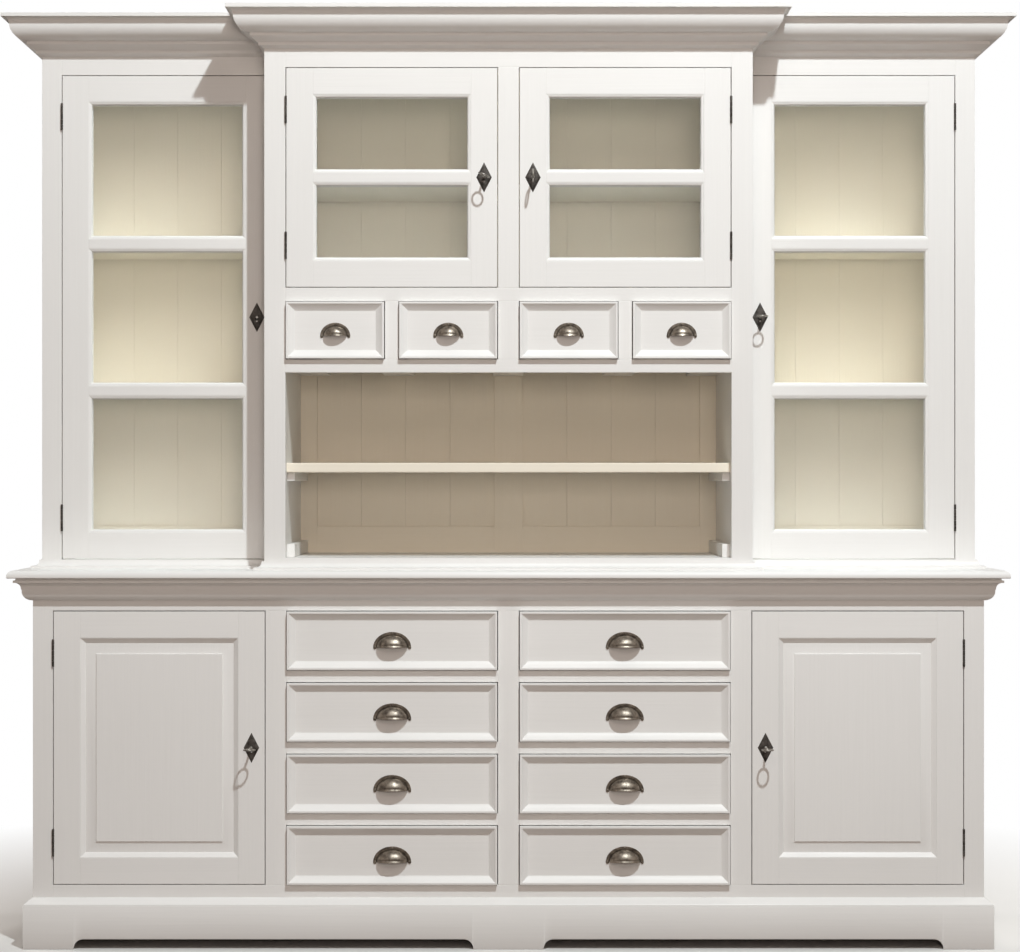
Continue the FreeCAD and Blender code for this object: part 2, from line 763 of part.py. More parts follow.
def make_runners():
    pieces = []
    half_partition = dim.carcase_board / 2
    near = half_partition
    far = base_stile_outer - half_inner_stile - half_partition
    deep = (frame_back, back - dim.base_back_board)
    for side, sign in sides.items():
        for row in range(1, drawer_row_count):
            span = (drawer_foot(row) - dim.base_runner_height, drawer_foot(row))
            pieces.append(board(f"base_runner_{side}_{row}_inner",
                                across(sign, near, near + dim.base_runner_width), deep, span))
            pieces.append(board(f"base_runner_{side}_{row}_outer",
                                across(sign, far - dim.base_runner_width, far), deep, span))
    span = (small_bottom - dim.small_runner_height, small_bottom)
    deep = (frame_back, back_face)
    for side, sign in sides.items():
        end = across(sign, centre_inner - dim.small_runner_width, centre_side_inner)
        between = around(small_stile_middle() * sign, dim.small_runner_width)
        pieces.append(board(f"small_runner_end_{side}", end, deep, span))
        pieces.append(board(f"small_runner_{side}", between, deep, span))
    pieces.append(board("small_runner_middle", around(zero, dim.small_runner_width), deep, span))
    node("drawer_runners", pieces)


def cup_pull(name, width, height, depth, x, y, z):
    # A hooded pull, open below, with a thin flange round the hood and three screws. The hood's lip is a
    # little above the ends of the flange. The point is the middle of the lower edge, on the drawer's face.
    half = width / 2
    lip = z + dim.pull_lip_rise

    def dome(label, half_across, deep, up, foot):
        item = doc.addObject("Part::Ellipsoid", f"{name}_{label}")
        item.setExpression("Radius1", up.formula)
        item.setExpression("Radius2", half_across.formula)
        item.setExpression("Radius3", deep.formula)
        return place(item, x, y, foot)

    hood_half = half - dim.pull_flange_width
    hood_height = height - dim.pull_flange_width - dim.pull_lip_rise
    wall = dim.pull_wall
    hood = dome("hood", hood_half, depth, hood_height, lip)
    hollow = dome("hollow", hood_half - wall, depth - wall, hood_height - wall, lip)
    disk = dome("disk", half, width, height, z)
    span = (x - width, x + width)
    hood_room = board(f"{name}_hood_room", span, (y - width, y), (lip, lip + width))
    flange_room = board(f"{name}_flange_room", span, (y - dim.pull_flange_thickness, y), (z, z + width))
    keep_hood = doc.addObject("Part::Common", f"{name}_hood_half")
    keep_hood.Base = hood
    keep_hood.Tool = hood_room
    keep_flange = doc.addObject("Part::Common", f"{name}_flange")
    keep_flange.Base = disk
    keep_flange.Tool = flange_room
    pieces = [cut(f"{name}_cup", fuse(f"{name}_blank", [keep_hood, keep_flange]), hollow)]
    seats = [(zero, height * pull_screw_top_share)]
    seats += [(half * pull_screw_side_share * sign, height * pull_screw_low_share) for sign in (-1, 1)]
    for index, (out, up) in enumerate(seats, start=1):
        screw = doc.addObject("Part::Cone", f"{name}_screw_{index}")
        screw.Placement.Rotation = FreeCAD.Rotation(FreeCAD.Vector(1, 0, 0), 90)
        screw.setExpression("Radius1", dim.pull_screw_radius.formula)
        screw.setExpression("Radius2", dim.pull_screw_tip_radius.formula)
        screw.setExpression("Height", dim.pull_screw_height.formula)
        pieces.append(place(screw, x + out, y - dim.pull_flange_thickness, z + up))
    return pieces


def make_drawer(name, pull_name, x, z, length, side_height, pull):
    # A drawer in the opening x by z of the flush face frame, with its mitred front moulding proud.
    gap = dim.door_gap
    face = (front, front + dim.drawer_front_board)
    wide = (x[0] + gap, x[1] - gap)
    tall = (z[0] + gap, z[1] - gap)
    foot = z[0] + dim.running_gap
    box_back = face[1] + length
    side_span = (foot, foot + side_height)
    inside = (wide[0] + dim.drawer_side, wide[1] - dim.drawer_side)
    middle = (x[0] + x[1]) / 2
    pieces = [
        board(f"{name}_front", wide, face, tall),
        ring(f"{name}_moulding", [(-deep, across_share, bend) for deep, across_share, bend
                                  in drawer_moulding_shares],
             dim.drawer_moulding_proud, dim.drawer_moulding_width, wide[1] - wide[0], tall[1] - tall[0],
             (middle, front, tall[0])),
        board(f"{name}_side_left", (wide[0], inside[0]), (face[1], box_back), side_span),
        board(f"{name}_side_right", (inside[1], wide[1]), (face[1], box_back), side_span),
        board(f"{name}_back", inside, (box_back - dim.drawer_side, box_back), side_span),
        board(f"{name}_bottom", inside, (face[1], box_back - dim.drawer_side),
              (foot + dim.drawer_bottom_rise, foot + dim.drawer_bottom_rise + dim.drawer_bottom)),
    ]
    node(name, pieces)
    width, height, depth = pull
    node(pull_name, cup_pull(pull_name, width, height, depth, middle, front,
                             (tall[0] + tall[1] - height) / 2))


def make_drawers():
    big = (dim.big_pull_width, dim.big_pull_height, dim.big_pull_depth)
    small = (dim.small_pull_width, dim.small_pull_height, dim.small_pull_depth)
    for side, sign in sides.items():
        span = across(sign, half_inner_stile, base_stile_inner)
        for row in range(drawer_row_count):
            foot = drawer_foot(row)
            count = drawer_row_count - row
            make_drawer(f"base_drawer_{side}_{count}", f"base_pull_{side}_{count}", span,
                        (foot, foot + drawer_pitch()), dim.base_drawer_length,
                        dim.base_drawer_side_height, big)
    half_stile = dim.small_drawer_stile / 2
    inner = (half_mid, small_stile_middle() - half_stile)
    outer = (small_stile_middle() + half_stile, centre_inner)
    spans = [across(-1, *outer), across(-1, *inner), across(1, *inner), across(1, *outer)]
    for index, span in enumerate(spans, start=1):
        make_drawer(f"small_drawer_{index}", f"small_pull_{index}", span, (small_bottom, small_head),
                    dim.small_drawer_length, dim.small_drawer_side_height, small)


class Door:
    # Sizes of a pair of doors: the distances of the hinge and lock edges of the opening from the middle
    # plane, the opening's height, the front plane, the widths of the frame members, and how far the
    # lock's tongue lies behind the door and reaches past its edge.
    def __init__(self, hinge_edge, lock_edge, low, high, face, hinge_stile, lock_stile, rail, panes, stop,
                 reach):
        gap = dim.door_gap
        inward = 1 if hinge_edge.value > lock_edge.value else -1
        self.inward = inward
        self.opening_edge = hinge_edge
        self.hinge_edge = hinge_edge - gap * inward
        self.lock_edge = lock_edge + gap * inward
        self.low = low + gap
        self.high = high - gap
        self.face = face
        self.back = face + dim.face_board
        self.hinge_inner = self.hinge_edge - hinge_stile * inward
        self.lock_inner = self.lock_edge + lock_stile * inward
        self.lock_axis = self.lock_edge + lock_stile / 2 * inward
        self.lock_reach = lock_stile / 2 + reach
        self.tongue_front = self.back + stop + dim.lock_tongue_gap
        self.lock_height = (self.low + self.high) / 2
        self.rail = rail
        self.panes = panes

    def spread(self, sign, first, second):
        near, far = (first, second) if first.value < second.value else (second, first)
        return across(sign, near, far)


# The tongues of the base and centre doors catch behind the face frame, those of the tall doors behind
# the stop strips.
past_edge = dim.door_gap + dim.lock_tongue_reach
behind_stop = dim.running_gap + dim.stop_strip_depth
base_door = Door(base_outer, base_stile_outer, base_bottom, base_head, front, dim.base_door_stile,
                 dim.base_door_stile, dim.base_door_rail, 1, zero, past_edge)
tall_door = Door(side_outer, half_centre, worktop_top + dim.side_sill, upper_head, side_front,
                 dim.glazed_hinge_stile, dim.tall_lock_stile, dim.glazed_rail, tall_pane_count,
                 behind_stop, zero)
centre_door = Door(centre_inner, half_mid, centre_sill, upper_head, front, dim.glazed_hinge_stile,
                   dim.centre_lock_stile, dim.glazed_rail, centre_pane_count, zero, past_edge)


def pane_height(door):
    bars = dim.glazing_bar * (door.panes - 1)
    return (door.high - door.low - door.rail * 2 - bars) / door.panes


def pane_foot(door, row):
    # Lower edge of a pane's opening in the door's frame, counted from below.
    return door.low + door.rail + (pane_height(door) + dim.glazing_bar) * row


def door_members(name, door, sign):
    # Stiles over the full height and rails between them, with the lock's hole in the lock stile.
    thick = (door.face, door.back)
    tall = (door.low, door.high)
    between = door.spread(sign, door.hinge_inner, door.lock_inner)
    hole = rod(f"{name}_lock_hole", dim.lock_barrel_radius + dim.lock_barrel_play,
               dim.face_board + dim.overrun * 2, door.lock_axis * sign, door.face - dim.overrun,
               door.lock_height, along_depth=True)
    stile = board(f"{name}_lock_stile_blank", door.spread(sign, door.lock_edge, door.lock_inner), thick, tall)
    return [
        board(f"{name}_hinge_stile", door.spread(sign, door.hinge_edge, door.hinge_inner), thick, tall),
        cut(f"{name}_lock_stile", stile, hole),
        board(f"{name}_rail_low", between, thick, (door.low, door.low + door.rail)),
        board(f"{name}_rail_high", between, thick, (door.high - door.rail, door.high)),
    ]


def make_panel_door(name, door, sign):
    # A frame with a sloping inner edge, grooved for one raised and fielded panel.
    play = dim.panel_play
    sight_x = door.spread(sign, door.hinge_inner, door.lock_inner)
    sight_z = (door.low + door.rail, door.high - door.rail)
    field = door.face + dim.panel_set_back
    shoulder = field + dim.panel_bevel_drop
    tongue = dim.panel_groove - play
    slab = board(f"{name}_panel_slab", (sight_x[0] - tongue, sight_x[1] + tongue),
                 (shoulder, shoulder + dim.panel_tongue), (sight_z[0] - tongue, sight_z[1] + tongue))
    bevel = doc.addObject("Part::Wedge", f"{name}_panel_bevel")
    border = dim.panel_border
    inner_x = (sight_x[0] + border, sight_x[1] - border)
    inner_z = (sight_z[0] + border, sight_z[1] - border)
    edge = dim.sticking_width + play
    outer_x = (sight_x[0] + edge, sight_x[1] - edge)
    outer_z = (sight_z[0] + edge, sight_z[1] - edge)
    limits = {"Xmin": inner_x[0], "Xmax": inner_x[1], "Zmin": inner_z[0], "Zmax": inner_z[1],
              "X2min": outer_x[0], "X2max": outer_x[1], "Z2min": outer_z[0], "Z2max": outer_z[1],
              "Ymin": field + dim.panel_step, "Ymax": shoulder}
    for side, size in limits.items():
        bevel.setExpression(side, size.formula)
    plateau = board(f"{name}_panel_field", inner_x, (field, shoulder), inner_z)
    deep = dim.panel_groove
    groove = board(f"{name}_groove", (sight_x[0] - deep, sight_x[1] + deep),
                   (shoulder - play, shoulder + dim.panel_tongue + play),
                   (sight_z[0] - deep, sight_z[1] + deep))
    members = [cut(f"{member.Name}_grooved", member, groove) for member in door_members(name, door, sign)]
    members.append(ring(f"{name}_sticking", sticking_shares, shoulder - play - door.face, dim.sticking_width,
                        sight_x[1] - sight_x[0], sight_z[1] - sight_z[0],
                        ((sight_x[0] + sight_x[1]) / 2, door.face, sight_z[0])))
    node(f"{name}_frame", members)
    node(f"{name}_panel", [fuse(f"{name}_fielded_panel", [slab, bevel, plateau])])


def make_glazed_door(name, door, sign):
    # A frame with glazing bars. Each pane lies between a moulded bead in front and a plain one behind.
    pieces = door_members(name, door, sign)
    panes = []
    between = door.spread(sign, door.hinge_inner, door.lock_inner)
    middle = (between[0] + between[1]) / 2
    width = between[1] - between[0]
    bead = dim.bead_width
    glass_front = door.face + dim.bead_depth
    glass_back = glass_front + dim.glass
    for row in range(door.panes):
        foot = pane_foot(door, row)
        head = foot + pane_height(door)
        if row > 0:
            pieces.append(board(f"{name}_bar_{row}", between, (door.face, door.back),
                                (foot - dim.glazing_bar, foot)))
        pieces.append(ring(f"{name}_bead_{row + 1}", bead_shares, dim.bead_depth, bead, width, head - foot,
                           (middle, door.face, foot)))
        blank = board(f"{name}_rear_bead_blank_{row + 1}", between, (glass_back, door.back), (foot, head))
        room = board(f"{name}_rear_bead_room_{row + 1}", (between[0] + bead, between[1] - bead),
                     (glass_back - dim.overrun, door.back + dim.overrun), (foot + bead, head - bead))
        pieces.append(cut(f"{name}_rear_bead_{row + 1}", blank, room))
        panes.append(board(f"{name}_pane_{row + 1}", between, (glass_front, glass_back), (foot, head)))
    node(f"{name}_frame", pieces)
    node(f"{name}_glass", panes)


def hinge_leaf(name, plate_x, axis_x, door, foot, knuckles, bore):
    # A plate in the gap beside the door with its share of the knuckles round the pin.
    axis_y = door.face - dim.hinge_barrel_radius - dim.hinge_stand_off
    step = dim.hinge_length / knuckle_count
    pieces = [board(f"{name}_plate", plate_x, (door.face, door.face + dim.hinge_leaf_width),
                    (foot, foot + dim.hinge_length))]
    for index in knuckles:
        low = foot + step * index + dim.knuckle_play
        tall = step - dim.knuckle_play * 2
        pieces.append(rod(f"{name}_knuckle_{index}", dim.hinge_barrel_radius, tall, axis_x, axis_y, low))
        pieces.append(board(f"{name}_web_{index}", plate_x, (axis_y, door.face + dim.hinge_leaf_thickness),
                            (low, low + tall)))
    return cut(name, fuse(f"{name}_blank", pieces), bore)


fixed_leaves = []


def make_hinges(name, door, sign):
    # Two butt hinges on a door. The fixed leaves and pins stay with the cabinet.
    leaf = dim.hinge_leaf_thickness * door.inward
    axis_x = (door.opening_edge + door.hinge_edge) / 2 * sign
    axis_y = door.face - dim.hinge_barrel_radius - dim.hinge_stand_off
    fixed_x = door.spread(sign, door.opening_edge - leaf, door.opening_edge)
    moving_x = door.spread(sign, door.hinge_edge, door.hinge_edge + leaf)
    half = dim.hinge_length / 2
    moving = []
    for label, middle in (("low", door.low + dim.hinge_inset), ("high", door.high - dim.hinge_inset)):
        foot = middle - half
        title = f"{name}_{label}_hinge"
        bore = rod(f"{title}_bore", dim.hinge_pin_radius + dim.pin_play, dim.hinge_length + dim.overrun * 2,
                   axis_x, axis_y, foot - dim.overrun)
        fixed_leaves.append(hinge_leaf(f"{title}_fixed", fixed_x, axis_x, door, foot, (0, 2, 4), bore))
        fixed_leaves.append(rod(f"{title}_pin", dim.hinge_pin_radius, dim.hinge_length, axis_x, axis_y, foot))
        moving.append(hinge_leaf(f"{title}_moving", moving_x, axis_x, door, foot, (1, 3), bore))
    return moving


def make_lock(name, door, sign):
    # A bevelled diamond escutcheon with a keyhole, and the lock's barrel through the stile.
    axis_x = door.lock_axis * sign
    body = doc.addObject("PartDesign::Body", f"{name}_escutcheon")
    half_wide = dim.escutcheon_width / 2
    half_tall = dim.escutcheon_height / 2
    plate = pad(body, outline(body, f"{name}_diamond", "XZ_Plane", [
        (zero, -half_tall), (half_wide, zero), (zero, half_tall), (-half_wide, zero),
    ]), dim.escutcheon_thickness)
    plate.TaperAngle = -escutcheon_taper
    round_part = outline(body, f"{name}_keyhole", "XZ_Plane", [
        (dim.keyhole_radius, zero), (zero, dim.keyhole_radius), (-dim.keyhole_radius, zero),
        (-(dim.keyhole_slot / 2), -dim.keyhole_drop), (dim.keyhole_slot / 2, -dim.keyhole_drop),
    ], [1, 1, 0, 0, 0])
    pocket_through(body, round_part)
    place(body, axis_x, door.face, door.lock_height)
    length = door.tongue_front - door.face
    casing = rod(f"{name}_barrel_blank", dim.lock_barrel_radius, length - dim.running_gap, axis_x, door.face,
                 door.lock_height, along_depth=True)
    bore = rod(f"{name}_key_bore", dim.key_shank_radius + dim.key_play, length + dim.overrun * 2,
               axis_x, door.face - dim.overrun, door.lock_height, along_depth=True)
    return [body, cut(f"{name}_barrel", casing, bore)]


def lock_tongue(name, door, sign):
    # The tongue points up while the door is free and turns towards the frame to lock it.
    start = door.tongue_front
    return board(f"{name}_tongue", around(door.lock_axis * sign, dim.lock_tongue_width),
                 (start, start + dim.lock_tongue_thickness),
                 (door.lock_height - dim.lock_tongue_width / 2, door.lock_height + door.lock_reach))


def make_key(name, door, sign, bow_turn):
    # A shank through the lock with a collar and an oval bow, and the tongue that it turns.
    axis_x = door.lock_axis * sign
    wire = dim.key_wire_radius
    bow_radius = dim.key_bow_width / 2 - wire
    half_straight = (dim.key_bow_length - dim.key_bow_width) / 2
    tip = door.face - dim.key_stem - wire
    shank = rod(f"{name}_shank", dim.key_shank_radius, door.tongue_front - tip, axis_x, tip,
                door.lock_height, along_depth=True)
    collar = rod(f"{name}_collar", dim.key_collar_radius, dim.key_collar_length, axis_x,
                 door.face - dim.key_collar_place - dim.key_collar_length, door.lock_height, along_depth=True)
    bow = doc.addObject("PartDesign::Body", f"{name}_bow")
    path = outline(bow, f"{name}_bow_path", "XY_Plane", [
        (bow_radius, zero), (bow_radius, half_straight), (zero, half_straight + bow_radius),
        (-bow_radius, half_straight), (-bow_radius, -half_straight), (zero, -(half_straight + bow_radius)),
        (bow_radius, -half_straight),
    ], [0, 1, 1, 0, 1, 1, 0])
    pipe(bow, disc(bow, f"{name}_bow_wire", "XZ_Plane", bow_radius, wire), path, 7)
    bow.Placement.Rotation = FreeCAD.Rotation(FreeCAD.Vector(0, 1, 0), bow_turn)
    place(bow, axis_x, door.face - dim.key_stem - dim.key_bow_length / 2, door.lock_height)
    node(name, [fuse(f"{name}_whole", [shank, collar, bow]), lock_tongue(name, door, sign)])


def make_doors():
    for kind, door in (("base", base_door), ("tall", tall_door), ("centre", centre_door)):
        for side, sign in sides.items():
            name = f"{side}_{kind}_door"
            if kind == "base":
                make_panel_door(name, door, sign)
            else:
                make_glazed_door(name, door, sign)
            ironwork = make_hinges(name, door, sign) + make_lock(name, door, sign)
            turn = bow_turns.get(f"{side}_{kind}")
            if turn is None:
                ironwork.append(lock_tongue(name, door, sign))
            else:
                make_key(f"{name}_key", door, sign, turn)
            node(f"{name}_ironwork", ironwork)
    node("hinge_frame_leaves", fixed_leaves)


make_plinth()
make_base()
make_worktop()
make_trim()
make_upper_carcase()
make_upper_frame()
make_back()
make_shelves()
make_runners()
make_drawers()
make_doors()
doc.recompute()

for item in doc.Objects:
    if "Invalid" in item.State or "Error" in item.State:
        raise RuntimeError(f"{item.Label} could not be built")
for item in nodes:
    if item.Shape.isNull() or not item.Shape.isValid():
        raise RuntimeError(f"{item.Label} has no sound shape")

os.makedirs("parts", exist_ok=True)
for item in nodes:
    item.Shape.exportStep(f"parts/{item.Label}.step")
    print(item.Label, len(item.Shape.Solids), "solids", round(item.Shape.Volume / 1000), "cm3")
print(len(nodes), "nodes")
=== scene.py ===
import math
import bmesh
import bpy
import numpy as np
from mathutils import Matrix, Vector


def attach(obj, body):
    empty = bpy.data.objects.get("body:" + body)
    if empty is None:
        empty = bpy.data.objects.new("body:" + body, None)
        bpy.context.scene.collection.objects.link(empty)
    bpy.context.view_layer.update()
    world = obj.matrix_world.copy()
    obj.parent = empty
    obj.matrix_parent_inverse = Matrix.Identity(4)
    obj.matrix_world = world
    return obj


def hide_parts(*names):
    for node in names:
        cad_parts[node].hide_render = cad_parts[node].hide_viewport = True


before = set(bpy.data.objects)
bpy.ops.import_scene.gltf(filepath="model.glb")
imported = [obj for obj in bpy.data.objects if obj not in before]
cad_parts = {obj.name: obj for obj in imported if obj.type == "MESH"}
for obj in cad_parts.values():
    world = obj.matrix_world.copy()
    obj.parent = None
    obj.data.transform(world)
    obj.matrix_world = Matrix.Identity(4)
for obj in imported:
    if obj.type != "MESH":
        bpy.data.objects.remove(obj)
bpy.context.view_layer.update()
mm = 0.001
sides = {"left": -1, "right": 1}
seeds = np.random.default_rng(11)
print("frame loaded:", len(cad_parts), "nodes")


# Shapes: each one is a dictionary of vertices, faces, a grain place and an edge mark per vertex.

def shape(verts, faces, grain, edge=None):
    verts, grain = verts.reshape(-1, 3), grain.reshape(-1, 3)
    edge = np.zeros(len(verts)) if edge is None else edge.reshape(-1)
    return {"verts": verts, "faces": faces, "grain": grain, "edge": edge}


def together(shapes):
    # Several shapes in one: the face numbers of each are shifted past those before it.
    starts = np.cumsum([0] + [len(item["verts"]) for item in shapes[:-1]])
    faces = [block + start for item, start in zip(shapes, starts) for block in item["faces"]]
    return {"faces": faces, **{key: np.concatenate([item[key] for item in shapes])
                               for key in ("verts", "grain", "edge")}}


def gridPoints(x, y, z):
    # Points of a grid from their coordinates, each given for all points or for the rows or columns.
    return np.stack(np.broadcast_arrays(x, y, z), axis=-1)


def gridFaces(rows, columns, wrap=False):
    # Quads between neighbours of a grid. Its columns close on themselves, and its rows too if asked.
    r, c = np.meshgrid(np.arange(rows if wrap else rows - 1), np.arange(columns), indexing="ij")
    r, c = r.ravel(), c.ravel()
    below, after = (r + 1) % rows, (c + 1) % columns
    return np.stack([r * columns + c, r * columns + after, below * columns + after, below * columns + c], 1)


def tubeFaces(rows, columns, count=1):
    # Sides and flat ends of several equal tubes in a row, each made of closed loops of points.
    ends = np.stack([np.arange(columns)[::-1], (rows - 1) * columns + np.arange(columns)])
    starts = rows * columns * np.arange(count)[:, None, None]
    return [(block + starts).reshape(-1, block.shape[1]) for block in (gridFaces(rows, columns), ends)]


def grainShift(*size):
    # A random place in the grain for each board, so that no two look alike.
    return seeds.uniform(-5, 5, (*size, 3))


def boards(boxes, soft=1.3, worn=1.0):
    # Each board is a rounded rectangle carried along its longest side. Towards both ends the outline
    # draws in along a quarter circle, so all its edges have the same small radius. A line of points
    # next to each rounding keeps the faces flat. Sizes are in millimetres: (x, x, y, y, z, z). Soft is
    # the radius, and worn says how far the paint is rubbed off there.
    boxes = np.asarray(boxes, float).reshape(-1, 3, 2)
    count = len(boxes)
    half = np.ptp(boxes, axis=2) / 2
    order = np.argsort(-half, axis=1, kind="stable")
    handed = np.linalg.det(np.eye(3)[order])
    size = np.take_along_axis(half, order, 1)
    radius = np.minimum(soft, 0.4 * size[:, 2])
    beside = np.minimum(2.0, 0.4 * (size[:, 2] - radius))
    angle = np.radians(np.concatenate([np.array([0, 0, 45, 90, 90]) + 90 * quarter for quarter in range(4)]))
    slide = np.tile([-1, 0, 0, 0, 1], 4)
    signs = np.repeat([[1, 1], [-1, 1], [-1, -1], [1, -1]], 5, axis=0)
    endSign = np.repeat([-1, 1], 4)
    outward = np.array([1, 0.7071, 0, 0, 0, 0, 0.7071, 1])
    spread = np.array([0.03, 0.7071, 1, 1, 1, 1, 0.7071, 0.03])
    inside = np.array([0, 0, 0, 1, 1, 0, 0, 0])
    r = radius[:, None, None]
    s = beside[:, None, None]
    reach = size[:, None, 0] - radius[:, None] + radius[:, None] * outward
    along = endSign * (reach - beside[:, None] * inside)
    wide = signs[:, 0] * (size[:, None, None, 1] - r) + r * spread[:, None] * np.cos(angle)
    thick = signs[:, 1] * (size[:, None, None, 2] - r) + r * spread[:, None] * np.sin(angle)
    local = gridPoints(along[:, :, None], wide - s * slide * np.sin(angle),
                       (thick + s * slide * np.cos(angle)) * handed[:, None, None])
    back = np.argsort(order, axis=1)[:, None, None, :]
    verts = np.take_along_axis(local, np.broadcast_to(back, local.shape), axis=3)
    verts = verts + boxes.mean(axis=2)[:, None, None, :]
    grain = local * mm + grainShift(count, 1, 1)
    edge = 1 - (slide != 0)[None, :] * (inside == 1)[:, None]
    edge[[0, -1]] = 0
    edge = np.broadcast_to(edge * worn, local.shape[:3])
    return shape(verts * mm, tubeFaces(len(outward), len(angle), count), grain, edge)


def carry(start, finish):
    # A closed profile carried in a straight line from its place at the start to its place at the end,
    # for several runs at once. The two ends are shut, so a slanting end is a mitre.
    start, finish = np.asarray(start, float) * mm, np.asarray(finish, float) * mm
    runs, points = start.shape[:2]
    verts = np.stack([start, finish], axis=1)
    line = (finish - start).mean(axis=1)
    line = line / np.linalg.norm(line, axis=1, keepdims=True)
    along = np.einsum("repk,rk->rep", verts, line)
    girth = np.linalg.norm(np.diff(start, axis=1, prepend=start[:, :1]), axis=2).cumsum(axis=1)
    grain = np.stack([along, np.broadcast_to(girth[:, None], along.shape), np.zeros_like(along)], axis=-1)
    grain = grain + grainShift(runs, 1, 1)
    return shape(verts, tubeFaces(2, points, runs), grain)


def arcEdge(points, steps=7):
    # Fills in a profile given as (out, up, bend): 1 swells out in a quarter round, -1 is hollow.
    # A quarter round is the chord plus an equal-angled arc about the corner square to it.
    filled = []
    for (x0, y0, bend), (x1, y1, _) in zip(points, points[1:]):
        if not bend:
            filled.append(np.array([[x0, y0]]))
            continue
        t = np.linspace(0, math.pi / 2, steps, endpoint=False)
        middle = np.array([x0 + x1, y0 + y1]) / 2
        chord = np.array([x1 - x0, y1 - y0])
        square = np.array([chord[1], -chord[0]]) * bend
        centre = middle - square / 2
        first = np.array([x0, y0]) - centre
        second = np.array([x1, y1]) - centre
        filled.append(centre + np.cos(t)[:, None] * first + np.sin(t)[:, None] * second)
    filled.append(np.array([points[-1][:2]]))
    return np.concatenate(filled)


def moulding(profile, path, foot):
    # The profile (out, up) stands on the path, given as (x, y, mitre x, mitre y) at each corner.
    x, y, mitreX, mitreY = np.array(path, float).T[..., None]
    out, up = profile.T
    spots = gridPoints(x + out * mitreX, y + out * mitreY, foot + up)
    return carry(spots[:-1], spots[1:])


def nested(x, z, insets):
    # The four corners of a rectangle, drawn in by each inset.
    corner = np.array([[-1, -1], [1, -1], [1, 1], [-1, 1]])
    middle = np.array([sum(x), sum(z)]) / 2
    reach = np.array([x[1] - x[0], z[1] - z[0]]) / 2
    return middle + corner[:, None] * (reach - insets[:, None])


def ringFrame(profile, x, z, y):
    # A mitred rectangle of moulding in the plane of a front: the profile is (back from y, in from the edge).
    corner = nested(x, z, profile[:, 1])
    spots = gridPoints(corner[..., 0], y + profile[:, 0], corner[..., 1])
    return carry(spots, np.roll(spots, -1, axis=0))


def loft(loops, wrap=False):
    # Closed loops of points joined one to the next, with flat ends or closed into a ring.
    loops = loops * mm
    rows, columns = loops.shape[:2]
    faces = [gridFaces(rows, columns, True)] if wrap else tubeFaces(rows, columns)
    return shape(loops, faces, loops + grainShift())


def turned(profile, centre, axis, steps=24, wrap=False):
    # A profile (radius, along) turned round an axis through the centre.
    radius, along = np.array(profile, float).T[..., None]
    t = np.linspace(0, 2 * math.pi, steps, endpoint=False)
    spots = [radius * np.cos(t), radius * np.sin(t)]
    spots.insert(axis, along)
    return loft(gridPoints(*spots) + centre, wrap)


def spanOn(sign, first, second):
    # A width given for the right-hand side, as (left end, right end) on the side of the sign.
    low, high = min(first, second), max(first, second)
    return (low, high) if sign > 0 else (-high, -low)


def mirrored(boxes, sign):
    # Boards given for the right-hand side, set on the side of the sign.
    boxes = np.asarray(boxes, float).copy()
    if sign < 0:
        boxes[:, :2] = -boxes[:, 1::-1]
    return boxes


def bothSides(boxes, middle=()):
    # The boards on the left and on the right, then those in the middle.
    return np.concatenate([mirrored(boxes, -1), mirrored(boxes, 1), np.reshape(middle, (-1, 6))])


def addObject(name, data):
    item = bpy.data.objects.new(name, data)
    bpy.context.scene.collection.objects.link(item)
    return item


def makePiece(name, shapes, slotName, body, node, sharp=38):
    joined = together(shapes)
    mesh = bpy.data.meshes.new(name)
    faces = [face for block in joined["faces"] for face in block.tolist()]
    mesh.from_pydata(joined["verts"].tolist(), [], faces)
    grain = mesh.attributes.new("grain", "FLOAT_VECTOR", "POINT")
    grain.data.foreach_set("vector", joined["grain"].astype(np.float32).ravel())
    edge = mesh.attributes.new("edge", "FLOAT", "POINT")
    edge.data.foreach_set("value", joined["edge"].astype(np.float32))
    work = bmesh.new()
    work.from_mesh(mesh)
    bmesh.ops.recalc_face_normals(work, faces=work.faces)
    work.to_mesh(mesh)
    work.free()
    mesh.shade_smooth()
    mesh.set_sharp_from_angle(angle=math.radians(sharp))
    mesh.materials.append(finishes[slotName])
    piece = addObject(name, mesh)
    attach(piece, body)
    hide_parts(node)


# Node groups that several finishes share.

def newGroup(name, inputs):
    # Every group gives a colour, a roughness and a height for the bumps.
    group = bpy.data.node_groups.new(name, "ShaderNodeTree")
    outputs = {"Color": "Color", "Roughness": "Float", "Height": "Float"}
    for way, sockets in (("INPUT", inputs), ("OUTPUT", outputs)):
        for label, kind in sockets.items():
            group.interface.new_socket(label, in_out=way, socket_type="NodeSocket" + kind)
    return group, group.nodes.new("NodeGroupInput"), group.nodes.new("NodeGroupOutput")


def fill(tree, node, values):
    # Gives a node its inputs: a link from each socket, and plain values as they are.
    for key, value in values.items():
        if isinstance(value, bpy.types.NodeSocket):
            tree.links.new(value, node.inputs[key])
        else:
            node.inputs[key].default_value = value


def addNode(tree, kind, values=None, **settings):
    node = tree.nodes.new("ShaderNode" + kind)
    for key, value in settings.items():
        setattr(node, key, value)
    fill(tree, node, values or {})
    return node


def noiseAt(tree, place, stretch, detail=3.0, roughness=0.5):
    mapped = addNode(tree, "Mapping", {"Vector": place, "Scale": stretch})
    return addNode(tree, "TexNoise", {"Vector": mapped.outputs[0], "Scale": 1.0, "Detail": detail,
                                      "Roughness": roughness}).outputs[0]


def ramp(tree, value, low, high):
    # Straightens a value so that low becomes 0 and high becomes 1.
    return addNode(tree, "MapRange", {"Value": value, "From Min": low, "From Max": high}).outputs[0]


def maths(tree, operation, first, second):
    return addNode(tree, "Math", {0: first, 1: second}, operation=operation).outputs[0]


